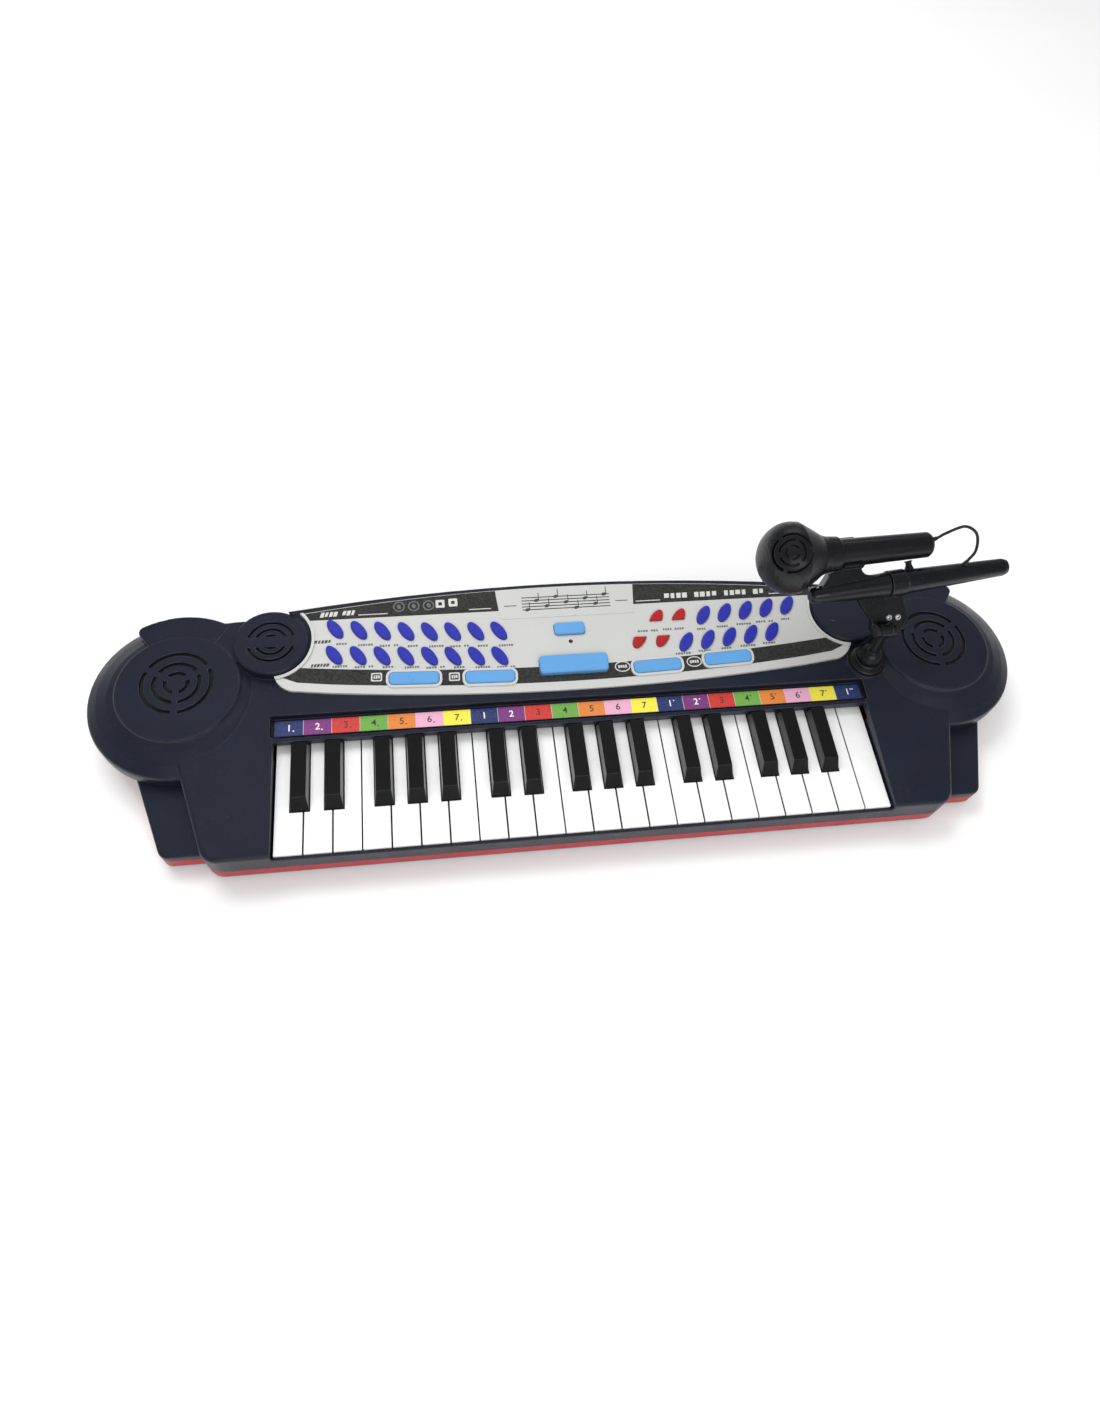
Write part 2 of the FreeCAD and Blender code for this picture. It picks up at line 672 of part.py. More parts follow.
def battery_door():
    x0, x1 = DOOR_KX
    y0, y1 = DOOR_KY
    step = 0.15 - DOOR_GAP / PITCH
    door = plan_block(x0 - step, x1 + step, y0 - step, y1 + step, FOOT_H, FOOT_H + DOOR_T - 0.1)
    grips = []
    middle_x = (at(x0, 0).x + at(x1, 0).x) / 2
    for i in range(5):
        y = at(0, y1).y - 6 - 3 * i
        grips.append(block(middle_x - 9, middle_x + 9, y - 0.6, y + 0.6, FOOT_H - 1, FOOT_H + 0.7))
    return door.cut(Part.makeCompound(grips))


def rubber_feet():
    spots = [at(kx, ky) for kx in (-12.4, 12.4) for ky in (0.9, 8.6)]
    spots.append(Vec(0, 0, 0))
    feet = []
    for spot in spots:
        foot = cylinder(spot, 7.0, FOOT_H)
        rim = [edge for edge in foot.Edges if edge.BoundBox.ZMax < 0.01]
        feet.append(foot.makeChamfer(0.5, rim))
    return Part.makeCompound(feet)


# ---- keys ----

def black_centres():
    octaves = WHITE_COUNT // OCTAVE
    return [octave * OCTAVE + centre for octave in range(octaves) for centre in BLACK_CENTRES]


def white_limits(number):
    """Left and right edge of a white key beside the black keys, counted in mm from the keys' left end."""
    left = number * PITCH + KEY_GAP / 2
    right = (number + 1) * PITCH - KEY_GAP / 2
    for centre in black_centres():
        low = centre * PITCH - BLACK_BASE_W / 2 - BLACK_CLEAR
        high = centre * PITCH + BLACK_BASE_W / 2 + BLACK_CLEAR
        if left < high < right and low < left + BLACK_BASE_W / 2:
            left = high
        if left < low < right:
            right = low
    return left, right


def key_tail(x, width, start_y):
    """Arm behind the playing part, ending in the open hook that turns on the rail."""
    pivot = at(0, PIVOT_KY, PIVOT_Z)
    arm = block(x - width / 2, x + width / 2, start_y, pivot.y, TAIL_LOW_Z, TAIL_TOP_Z)
    hook = cylinder(Vec(x - width / 2, pivot.y, pivot.z), HOOK_R, width, ALONG_X)
    hook = hook.fuse(arm)
    hook = hook.cut(cylinder(Vec(x - width, pivot.y, pivot.z), HOOK_BORE_R, 2 * width, ALONG_X))
    mouth = block(x - width, x + width, pivot.y - HOOK_MOUTH_W / 2, pivot.y + HOOK_MOUTH_W / 2,
                  pivot.z - 2 * HOOK_R, pivot.z)
    return hook.cut(mouth)


def white_key(number):
    left_end = -WHITE_COUNT / 2 * PITCH
    full = (left_end + number * PITCH + KEY_GAP / 2, left_end + (number + 1) * PITCH - KEY_GAP / 2)
    left, right = white_limits(number)
    narrow = (left_end + left, left_end + right)
    front_y = at(0, 0).y + 0.6
    notch_y = at(0, BLACK_FRONT_KY).y - BLACK_CLEAR
    back_y = at(0, TAIL_START_KY).y

    def body(inset, low_z, high_z):
        head = block(full[0] + inset, full[1] - inset, front_y + inset, notch_y - inset, low_z, high_z)
        stem = block(narrow[0] + inset, narrow[1] - inset, front_y + inset, back_y - inset, low_z, high_z)
        return head.fuse(stem).removeSplitter()

    key = body(0, KEY_SKIRT_Z, WHITE_TOP_Z)
    edges = [edge for edge in key.Edges
             if edge.BoundBox.ZMin > WHITE_TOP_Z - 0.1 and edge.BoundBox.YMax < notch_y + 0.1]
    key = key.makeFillet(0.7, edges)
    key = key.cut(body(KEY_SIDE_T, KEY_SKIRT_Z - 1, WHITE_TOP_Z - KEY_PLATE_T))
    contact_y = at(0, CONTACT_KY).y
    presser = block(narrow[0] + 0.5, narrow[1] - 0.5, contact_y - 1.5, contact_y + 1.5,
                    KEY_SKIRT_Z, WHITE_TOP_Z - 1)
    tail = key_tail((narrow[0] + narrow[1]) / 2, TAIL_W, back_y - 2)
    return union([key, presser, tail])


def black_key(number):
    x = (black_centres()[number] - WHITE_COUNT / 2) * PITCH
    half_base = BLACK_BASE_W / 2
    half_top = BLACK_TOP_W / 2
    shoulder_z = 30.5

    def body(inset, low_z, top_z):
        side = [
            at(0, BLACK_FRONT_KY, low_z) + Vec(0, inset, 0),
            at(0, BLACK_FRONT_KY, WHITE_TOP_Z) + Vec(0, inset, 0),
            at(0, BLACK_SLOPE_KY, top_z) + Vec(0, inset, 0),
            at(0, BLACK_BACK_KY, top_z) - Vec(0, inset, 0),
            at(0, BLACK_BACK_KY, shoulder_z) - Vec(0, inset, inset),
            at(0, TAIL_START_KY, shoulder_z) - Vec(0, inset, inset),
            at(0, TAIL_START_KY, low_z) - Vec(0, inset, 0),
        ]
        long_side = Part.Face(Part.makePolygon(side + [side[0]]))
        long_side.translate(Vec(x - half_base, 0, 0))
        length = long_side.extrude(Vec(2 * half_base, 0, 0))
        taper = half_base - half_top
        across = [
            Vec(x - half_base + inset, 0, low_z),
            Vec(x + half_base - inset, 0, low_z),
            Vec(x + half_base - inset, 0, WHITE_TOP_Z),
            Vec(x + half_base - taper - inset, 0, top_z),
            Vec(x - half_base + taper + inset, 0, top_z),
            Vec(x - half_base + inset, 0, WHITE_TOP_Z),
        ]
        section = Part.Face(Part.makePolygon(across + [across[0]]))
        section.translate(Vec(0, KEY_FRONT_Y, 0))
        return length.common(section.extrude(Vec(0, 7 * PITCH, 0)))

    key = body(0, KEY_SKIRT_Z, BLACK_TOP_Z)
    front_y = at(0, BLACK_FRONT_KY).y
    back_y = at(0, BLACK_BACK_KY).y
    edges = [edge for edge in key.Edges
             if edge.BoundBox.ZMax > BLACK_TOP_Z - 0.1 and edge.BoundBox.ZMin > WHITE_TOP_Z - 0.1
             and edge.BoundBox.YMax < back_y + 0.1 and edge.BoundBox.YMin > front_y - 0.1
             and edge.BoundBox.YMin < back_y - 1]
    key = key.makeFillet(0.8, edges)
    key = key.cut(body(KEY_SIDE_T, KEY_SKIRT_Z - 1, BLACK_TOP_Z - KEY_PLATE_T))
    contact_y = at(0, CONTACT_KY).y
    presser = block(x - half_base + 0.5, x + half_base - 0.5, contact_y - 1.5, contact_y + 1.5,
                    KEY_SKIRT_Z, WHITE_TOP_Z)
    return union([key, presser, key_tail(x, TAIL_W, at(0, TAIL_START_KY).y - 2)])


def key_centres():
    """Middle of each key's contact, in mm from the centre line."""
    left_end = -WHITE_COUNT / 2 * PITCH
    places = [left_end + sum(white_limits(i)) / 2 for i in range(WHITE_COUNT)]
    return places + [left_end + centre * PITCH for centre in black_centres()]


def contact_strip():
    """Rubber strip with one dome under every key."""
    base_z = KEY_BOARD_Z + BOARD_T + 0.02
    y = at(0, CONTACT_KY).y
    half = 10.95 * PITCH
    strip = block(-half, half, y - 6, y + 6, base_z, base_z + 1.2)
    domes = [Part.makeCone(3.6, 2.4, CONTACT_TOP_Z - base_z - 0.6, Vec(x, y, base_z + 0.6))
             for x in key_centres()]
    return strip.multiFuse(domes).removeSplitter()


# ---- control panel and its buttons ----


def oval(kx, ky, tilt, grow, low, high, trim=None):
    """Elliptical post across the panel's face, from depth low to height high; trim keeps one half."""
    ellipse = Part.Ellipse(Vec(0, 0, 0), OVAL_LONG / 2 + grow, OVAL_WIDE / 2 + grow)
    face = Part.Face(Part.Wire([ellipse.toShape()]))
    face.rotate(Vec(0, 0, 0), UP, tilt)
    face.translate(Vec(0, 0, low))
    post = face.extrude(Vec(0, 0, high - low))
    if trim:
        reach = OVAL_LONG
        side = (-1.5 - grow, reach) if trim > 0 else (-reach, 1.5 + grow)
        post = post.common(block(-reach, reach, side[0], side[1], low, high))
    post.Placement = panel_place(kx, ky)
    return post


def bar_post(centre, size, turn, corner, grow, low, high):
    """Rounded rectangular post across the panel's face."""
    half_x = size[0] / 2 + grow
    half_y = size[1] / 2 + grow
    radius = max(min(corner + grow, half_y - 0.05), 0.3)
    corners = [(Vec(x, y, 0), radius) for x, y in
               ((-half_x, -half_y), (half_x, -half_y), (half_x, half_y), (-half_x, half_y))]
    post = prism(rounded_wire(corners), low, high)
    post.rotate(Vec(0, 0, 0), UP, turn)
    post.Placement = panel_place(*centre).multiply(post.Placement)
    return post


def left_ovals(grow, low, high):
    return [oval(kx, ky, -OVAL_TILT_DEG, grow, low, high) for kx, ky in LEFT_TOP_ROW + LEFT_LOW_ROW]


def right_ovals(grow, low, high):
    return [oval(kx, ky, OVAL_TILT_DEG, grow, low, high) for kx, ky in RIGHT_TOP_ROW + RIGHT_LOW_ROW]


def red_halves(grow, low, high):
    upper = [oval(kx, ky, OVAL_TILT_DEG, grow, low, high, 1) for kx, ky in RED_UPPER]
    lower = [oval(kx, ky, OVAL_TILT_DEG, grow, low, high, -1) for kx, ky in RED_LOWER]
    return upper + lower


def mode_posts(grow, low, high):
    return [bar_post((kx, ky), MODE_SIZE, turn * -1, 3.5, grow, low, high) for kx, ky, turn in MODE_CENTRES]


def start_post(grow, low, high):
    return [bar_post(START_CENTRE, START_SIZE, 0, 3.0, grow, low, high)]


def power_post(grow, low, high):
    return [bar_post(POWER_CENTRE, POWER_SIZE, 0, 2.5, grow, low, high)]


def panel_holes(gap):
    """Openings for every button through the panel and the roof of the top case."""
    low = -PANEL_T - PANEL_ROOF_T - 3
    high = 8
    groups = (left_ovals, right_ovals, red_halves, mode_posts, start_post, power_post)
    holes = [shape for group in groups for shape in group(gap, low, high)]
    lamp = cylinder(Vec(0, 0, low), 1.4 + gap, high - low)
    lamp.Placement = panel_place(*LAMP_CENTRE).multiply(lamp.Placement)
    return holes + [lamp]


def control_panel():
    """Silver faceplate: raised border in front and beside, mode-button bezels and button openings."""
    outline = panel_wire()
    plate = prism(outline, 20, 90).common(panel_slab(0, -PANEL_T))
    border = prism(outline, 20, 90).common(panel_slab(BORDER_H, -0.5))
    border = border.cut(prism(panel_wire(0.38, 0.14, 0.3), 20, 90))
    bezels = [post.cut(hole) for post, hole in
              zip(mode_posts(BEZEL_W, -0.5, BEZEL_H), mode_posts(0.2, -2, 3))]
    panel = union([plate, border] + bezels)
    for shape in panel_holes(CAP_GAP):
        panel = panel.cut(shape)
    return panel.removeSplitter()


def capped(posts, round_r):
    """Rounds the outer end of each button post."""
    normal = panel_place(0, 0).Rotation.multVec(UP)
    done = []
    for post in posts:
        reach = max((vertex.Point.dot(normal) for vertex in post.Vertexes))
        top = [edge for edge in post.Edges
               if all(abs(vertex.Point.dot(normal) - reach) < 1e-3 for vertex in edge.Vertexes)]
        done.append(post.makeFillet(round_r, top))
    return done


def web_plate(kx0, kx1, ky0, ky1):
    """Thin rubber sheet parallel to the panel that joins the caps of one keypad."""
    low = at(kx0, ky0)
    high = at(kx1, ky1)
    cos = math.cos(math.radians(PANEL_SLOPE_DEG))
    start = at(0, PANEL_FRONT_KY).y
    sheet = block(low.x, high.x, (low.y - start) / cos, (high.y - start) / cos,
                  -WEB_DEPTH - WEB_T, -WEB_DEPTH)
    sheet.Placement = panel_place(0, PANEL_FRONT_KY)
    return sheet


def keypad(posts, pads, webs):
    return union(capped(posts, 1.2) + pads + [web_plate(*web) for web in webs])


def blue_keypad_left():
    return keypad(left_ovals(0, CAP_LOW, CAP_RISE), left_ovals(PAD_SHRINK, PAD_LOW, CAP_LOW + 0.2),
                  [(-9.5, -2.3, 6.7, 8.95)])


def blue_keypad_right():
    return keypad(right_ovals(0, CAP_LOW, CAP_RISE), right_ovals(PAD_SHRINK, PAD_LOW, CAP_LOW + 0.2),
                  [(4.85, 9.25, 7.6, 8.8), (4.05, 8.3, 6.7, 7.7)])


def red_keypad():
    return keypad(red_halves(0, CAP_LOW, CAP_RISE), red_halves(PAD_SHRINK, PAD_LOW, CAP_LOW + 0.2),
                  [(2.9, 4.78, 7.75, 8.6), (2.15, 3.95, 6.8, 7.8)])


def flanged(group, rise, round_r):
    """Hard buttons: a cap with a wider flange under the roof and a short presser below."""
    caps = capped(group(0, -WEB_DEPTH - 0.5, rise), round_r)
    flanges = group(1.6, -WEB_DEPTH - WEB_T, -WEB_DEPTH)
    pressers = group(-3.5, PAD_LOW, -WEB_DEPTH)
    return [union(parts) for parts in zip(caps, flanges, pressers)]


def mode_buttons():
    return Part.makeCompound(flanged(mode_posts, 2.0, 1.3))


def start_button():
    return flanged(start_post, 4.2, 1.5)[0]


def power_button():
    return flanged(power_post, 2.6, 1.4)[0]


def note_strip():
    """Printed plastic strip with one cell for each white key."""
    strip = plan_block(-STRIP_KX, STRIP_KX, STRIP_FRONT_KY + 0.12, STRIP_BACK_KY - 0.11, STRIP_FLOOR_Z,
                       STRIP_FLOOR_Z + 1.4)
    top = [edge for edge in strip.Edges if edge.BoundBox.ZMin > STRIP_FLOOR_Z + 1]
    return strip.makeFillet(0.4, top)


# ---- inside ----

def circuit_boards():
    """Key contact board, and the button board that lies parallel to the panel, with its chips."""
    key_board = plan_block(-10.97, 10.97, 1.9, 4.1, KEY_BOARD_Z, KEY_BOARD_Z + BOARD_T)
    low = at(-9.6, 5.9)
    high = at(9.6, 9.0)
    start = at(0, PANEL_FRONT_KY).y
    button_board = block(low.x, high.x, low.y - start, high.y - start,
                         -BOARD_DEPTH - BOARD_T, -BOARD_DEPTH)
    chips = [block(x, x + 16, 32, 44, -BOARD_DEPTH - BOARD_T - 2.2, -BOARD_DEPTH - BOARD_T + 0.2)
             for x in (20, 60, 100)]
    button_board = button_board.multiFuse(chips)
    button_board.Placement = panel_place(0, PANEL_FRONT_KY)
    for spot in screw_spots():
        button_board = button_board.cut(cylinder(spot, BOSS_R + 1, 60))
    return Part.makeCompound([key_board, button_board.removeSplitter()])


def speaker_driver(kx):
    """Round driver: flange, basket, magnet and a hollow cone."""
    top = POD_DISC_Z - WALL - 0.4
    centre = at(kx, GRILLE_KY)
    driver = spun([
        (0, top - 24), (15, top - 24), (15, top - 15), (20, top - 12), (27, top - 2), (29.5, top - 2),
        (29.5, top), (25, top), (11, top - 10), (7, top - 7), (0, top - 6),
    ], centre)
    return driver


def speaker_drivers():
    return Part.makeCompound([speaker_driver(-GRILLE_KX), speaker_driver(GRILLE_KX)])


# ---- microphone stand: built at rest round the ball's centre ----

def ball_centre():
    return at(STAND_KX, STAND_KY, BALL_Z)


def stand_socket_hole():
    return cylinder(at(STAND_KX, STAND_KY, SPIGOT_LOW_Z - 3), SPIGOT_R + RUN_GAP, 20)


def mic_stand_base():
    """Turning foot: a spigot in the top case, a round collar, and a cup that holds the ball."""
    centre = ball_centre()
    z0 = BASE_LOW_Z - BALL_Z
    spigot_low = SPIGOT_LOW_Z - BALL_Z
    foot = spun([
        (0, spigot_low), (SPIGOT_R, spigot_low), (SPIGOT_R, z0), (BASE_R - 0.8, z0), (BASE_R, z0 + 0.8),
        (BASE_R, z0 + 2.2), (BASE_R - 0.8, z0 + 3.0), (BALL_R + 1.2, z0 + 3.4), (BALL_R + 1.4, -2.4),
        (BALL_R + 0.6, -1.6), (0, -1.6),
    ], centre)
    return foot.cut(Part.makeSphere(BALL_R + RUN_GAP, centre))


def mic_lower_arm():
    """Ball with a tapering arm that ends in a bored eye."""
    centre = ball_centre()
    elbow = centre + Vec(0, ELBOW_Y, ELBOW_Z)
    ball = Part.makeSphere(BALL_R, centre)
    direction = (elbow - centre).normalize()
    length = (elbow - centre).Length
    arm = Part.makeCone(5.6, 3.2, length, centre, direction)
    eye = cylinder(elbow - Vec(4, 0, 0), 5.5, 8, ALONG_X)
    arm = union([ball, arm, eye])
    return arm.cut(cylinder(elbow - Vec(10, 0, 0), PIN_R + RUN_GAP, 20, ALONG_X))


def boom_place():
    """Frame of the boom: origin on its centre line over the bracket, X along it to the right."""
    spot = ball_centre() + Vec(BOOM_SHIFT_X, BOOM_Y, BOOM_Z)
    yaw = FreeCAD.Rotation(UP, BOOM_YAW_DEG)
    return FreeCAD.Placement(spot, yaw.multiply(FreeCAD.Rotation(ALONG_Y, -BOOM_PITCH_DEG)))


def mic_bracket():
    """Forked plate from the elbow to the ring round the boom, with two screw posts at its foot."""
    elbow = ball_centre() + Vec(0, ELBOW_Y, ELBOW_Z)
    ring_centre = boom_place().Base
    lean = ring_centre - elbow
    across = Vec(1, 0, 0)
    along = Vec(0, lean.y, lean.z).normalize()
    normal = across.cross(along)
    length = Vec(0, lean.y, lean.z).Length
    top = length - RING_R - 0.5
    outline = [(-7.5, -3.5, 1.5), (14.5, -3.5, 4), (21, 6.5, 4), (17, 16, 3), (12.5, top, 1),
               (-23, top, 1), (-18, 18, 4), (-8, 6, 3)]
    place = FreeCAD.Placement(elbow, FreeCAD.Rotation(across, along, normal, "XYZ"))

    def plate(inset, low, high):
        wire = rounded_wire([(Vec(x, y, 0), r) for x, y, r in outline])
        solid = prism(inset_wire(wire, inset), low, high)
        solid.Placement = place
        return solid

    web = plate(0, -9.5, -5.8)
    rim = plate(0, -11.5, -8).cut(plate(1.6, -12, -5))
    neck = block(BOOM_SHIFT_X - NECK_HALF_W, BOOM_SHIFT_X + NECK_HALF_W, top - 2, length - 4, -9.5, -3)
    neck.Placement = place
    ears = [neck]
    for side in (-1, 1):
        x0 = 4.3 if side > 0 else -7.5
        ear = block(x0, x0 + 3.2, -4.5, 4.5, -8, 2)
        ear.Placement = place
        ear = ear.fuse(cylinder(elbow + Vec(x0, 0, 0), 5.0, 3.2, ALONG_X))
        ears.append(ear)
    pin = cylinder(elbow - Vec(7, 0, 0), PIN_R, 14, ALONG_X)
    ring = cylinder(Vec(-RING_W / 2, 0, 0), RING_R, RING_W, ALONG_X)
    ring.Placement = boom_place().multiply(ring.Placement)
    bore = cylinder(Vec(-40, 0, 0), BOOM_NECK_R + RUN_GAP, 80, ALONG_X)
    bore.Placement = boom_place().multiply(bore.Placement)
    eye_space = block(-4.25, 4.25, -6.5, 7, -6.6, 7)
    eye_space.Placement = place
    arm_slot = block(-4.25, 4.25, -6.5, 2.5, -14, -5)
    arm_slot.Placement = place
    bracket = union([web, rim, ring] + ears).cut(eye_space).cut(arm_slot).cut(bore)
    return union([bracket, pin])


def mic_axis_place():
    """Frame of the microphone: origin beside the boom's, X along it to the right."""
    spot = boom_place().Base + Vec(0, MIC_Y, MIC_Z)
    return FreeCAD.Placement(spot, FreeCAD.Rotation(UP, MIC_YAW_DEG))


def handle_radius(x):
    share = (x - NECK_X) / (TAIL_X - NECK_X)
    return HANDLE_NECK_R + (HANDLE_TAIL_R - HANDLE_NECK_R) * share


def lathed(points, place):
    """Solid of revolution about a frame's X axis from (x, radius) points."""
    corners = [Vec(x, 0, r) for x, r in points]
    solid = Part.Face(Part.makePolygon(corners + [corners[0]])).revolve(Vec(0, 0, 0), ALONG_X, 360)
    solid.Placement = place
    return solid


def mic_boom():
    """Tapered tube with a rounded end, and on its left the cradle that holds the microphone."""
    place = boom_place()
    half_ring = RING_W / 2 + 0.3
    tip, end = BOOM_ENDS_X
    tube = [
        (tip, 0), (tip, 4.0), (tip + 2, 6.0), (tip + 12, 7.2), (-half_ring - 1, 9.2), (-half_ring, 8.6),
        (-half_ring, BOOM_NECK_R), (half_ring, BOOM_NECK_R), (half_ring, 8.8), (half_ring + 1, 9.2),
        (end - 5, 6.6), (end - 2, 5.6), (end - 0.6, 3.6), (end, 0),
    ]
    boom = lathed(tube, place)
    mic = Vec(0, MIC_Y, MIC_Z)
    side = mic.normalize()
    normal = ALONG_X.cross(side)
    plane = FreeCAD.Placement(Vec(0, 0, 0), FreeCAD.Rotation(ALONG_X, side, normal, "XYZ"))
    reach = math.hypot(MIC_Y, MIC_Z)
    outline = [(tip + 1, -3, 1), (-8, -3, 0), (-8, 6, 3), (CRADLE_X[1] + 1, 10, 6),
               (CRADLE_X[1], reach - 4, 1), (CRADLE_X[0], reach - 4, 1)]
    wire = rounded_wire([(Vec(x, y, 0), r) for x, y, r in outline])
    wedge = prism(wire, -5.5, 5.5)
    wedge.Placement = place.multiply(plane)
    cup = block(CRADLE_X[0], CRADLE_X[1], -HANDLE_NECK_R - 2.6, HANDLE_NECK_R + 2.6,
                -HANDLE_NECK_R - 2.4, 1.0)
    cup.Placement = mic_axis_place()
    keep = cylinder(Vec(-100, 0, 0), HANDLE_NECK_R + 2.6, 200, ALONG_X)
    keep.Placement = mic_axis_place().multiply(keep.Placement)
    cup = cup.common(keep.fuse(moved_block(-100, 100, -HANDLE_NECK_R - 2.6, HANDLE_NECK_R + 2.6, 0, 2)))
    channel = cylinder(Vec(-100, 0, 0), HANDLE_NECK_R + MIC_LIFT_GAP, 200, ALONG_X)
    channel.Placement = mic_axis_place().multiply(channel.Placement)
    room = HANDLE_NECK_R + MIC_LIFT_GAP
    lift_way = moved_block(-100, 100, -room, room, 0, 60)
    boom = union([boom, wedge, cup, tail_post(place, side, reach)])
    return boom.cut(channel).cut(lift_way).cut(head_room())


def tail_post(place, side, reach):
    """Small post on the boom that steadies the microphone's tail."""
    gap = 0.9
    length = reach - handle_radius(POST_X) - gap
    start = Vec(POST_X, 0, 0)
    post = cylinder(start, 2.2, length, side)
    foot = Part.makeCone(4.6, 2.2, 6, start + side * 6, side)
    pad = cylinder(start + side * (length - 1.4), 3.0, 1.4, side)
    post = union([post, foot, pad])
    post.Placement = place.multiply(post.Placement)
    return post


def head_room():
    """Space round the microphone's head and collar that the cradle leaves free."""
    gap = 1.0
    points = [(x, r + gap) for x, r in head_back()]
    first_x = points[0][0]
    last_x, last_r = points[-1]
    return lathed([(first_x, 0)] + points + [(last_x + gap, last_r), (last_x + gap, 0)], mic_axis_place())


def moved_block(x0, x1, y0, y1, z0, z1):
    """Block given in the microphone's own frame."""
    solid = block(x0, x1, y0, y1, z0, z1)
    solid.Placement = mic_axis_place()
    return solid


def mic_handle():
    """Tapered barrel with a chamfered tail."""
    points = [(NECK_X, 0), (NECK_X, HANDLE_NECK_R), (TAIL_X - 3, handle_radius(TAIL_X - 3)),
              (TAIL_X - 1, HANDLE_TAIL_R - 1.2), (TAIL_X, HANDLE_TAIL_R - 3.2), (TAIL_X, 0)]
    return lathed(points, mic_axis_place())


def head_slots():
    """Curved slots, sunk into the side of the dome that faces the singer."""
    place = mic_axis_place()
    centre = place.multVec(Vec(HEAD_MID_X, 0, 0))
    facing = FreeCAD.Rotation(UP, Vec(-0.3, -0.45, 0.84))
    aim = FreeCAD.Placement(centre, facing)
    floor = lathed([(HEAD_MID_X - (HEAD_DOME - 2) * math.cos(math.radians(a)),
                     (HEAD_R - 2) * math.sin(math.radians(a))) for a in range(0, 91, 9)]
                   + [(HEAD_MID_X + 30, HEAD_R - 2), (HEAD_MID_X + 30, 0)], place)
    slots = []
    for number, radius in enumerate((4.5, 9.0, 13.5)):
        ring = cylinder(Vec(0, 0, 0), radius + 0.9, 60).cut(cylinder(Vec(0, 0, -1), radius - 0.9, 62))
        for i in range(3):
            bar = block(0, 30, -1.5, 1.5, -1, 61)
            bar.rotate(Vec(0, 0, 0), UP, 120 * i + 60 * number)
            ring = ring.cut(bar)
        ring.Placement = aim
        slots.append(ring.cut(floor))
    return Part.makeCompound(slots)


def head_back():
    """(x, radius) points of the head's back, from the widest place to the end of the collar."""
    return [
        (HEAD_MID_X, HEAD_R), (HEAD_MID_X + 5, HEAD_R - 0.6), (HEAD_MID_X + 11, HEAD_R - 4.2),
        (HEAD_MID_X + 17, 18.6), (HEAD_MID_X + 22, 15.2), (HEAD_MID_X + 27, 13.4),
        (NECK_X - 0.8, 12.6), (NECK_X, 12.0),
    ]


def mic_head():
    """Domed head that narrows to a collar, with curved slots moulded into its dome."""
    dome = [(HEAD_MID_X - HEAD_DOME * math.cos(math.radians(a)), HEAD_R * math.sin(math.radians(a)))
            for a in range(0, 81, 8)]
    head = lathed(dome + head_back() + [(NECK_X, 0)], mic_axis_place())
    return head.cut(head_slots())


def mic_cable():
    """Thin lead that loops from the microphone's tail down into the boom."""
    mic = mic_axis_place()
    boom = boom_place()
    start = mic.multVec(Vec(TAIL_X + 0.8, 0, 5.0))
    end = boom.multVec(Vec(54.0, 2.5, 7.6))
    points = [
        start,
        start + Vec(7, 0, 7.5),
        start + Vec(17, -1, 15.5),
        start + Vec(26, -3.3, 12.5),
        start + Vec(30.5, -6.3, 6),
        end + Vec(5, 4, 9.5),
        end,
    ]
    curve = Part.BSplineCurve()
    curve.interpolate(points, InitialTangent=Vec(1, 0, 0.6), FinalTangent=Vec(-0.3, -0.3, -1))
    path = Part.Wire([curve.toShape()])
    disc = Part.Wire([Part.Circle(start, Vec(1, 0, 0.6), CABLE_R).toShape()])
    return path.makePipeShell([disc], True, True)


NODES = {
    "top_case": top_case,
    "bottom_case": bottom_case,
    "battery_door": battery_door,
    "control_panel": control_panel,
    "note_strip": note_strip,
    "blue_keypad_left": blue_keypad_left,
    "blue_keypad_right": blue_keypad_right,
    "red_keypad": red_keypad,
    "mode_buttons": mode_buttons,
    "start_button": start_button,
    "power_button": power_button,
    "circuit_boards": circuit_boards,
    "contact_strip": contact_strip,
    "speaker_drivers": speaker_drivers,
    "case_screws": case_screws,
    "rubber_feet": rubber_feet,
    "mic_stand_base": mic_stand_base,
    "mic_lower_arm": mic_lower_arm,
    "mic_bracket": mic_bracket,
    "mic_boom": mic_boom,
    "mic_handle": mic_handle,
    "mic_head": mic_head,
    "mic_cable": mic_cable,
}


def save(shape, name):
    shape.exportStep("parts/" + name + ".step")


os.makedirs("parts", exist_ok=True)
for name, make in NODES.items():
    save(make(), name)
for i in range(WHITE_COUNT):
    save(white_key(i), "white_key_%02d" % (i + 1))
for i in range(len(black_centres())):
    save(black_key(i), "black_key_%02d" % (i + 1))
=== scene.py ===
"""Looks of a toy electronic keyboard with a microphone on a stand, built round its CAD frame."""

import json
import math

import bmesh
import bpy
from mathutils import Matrix, Vector


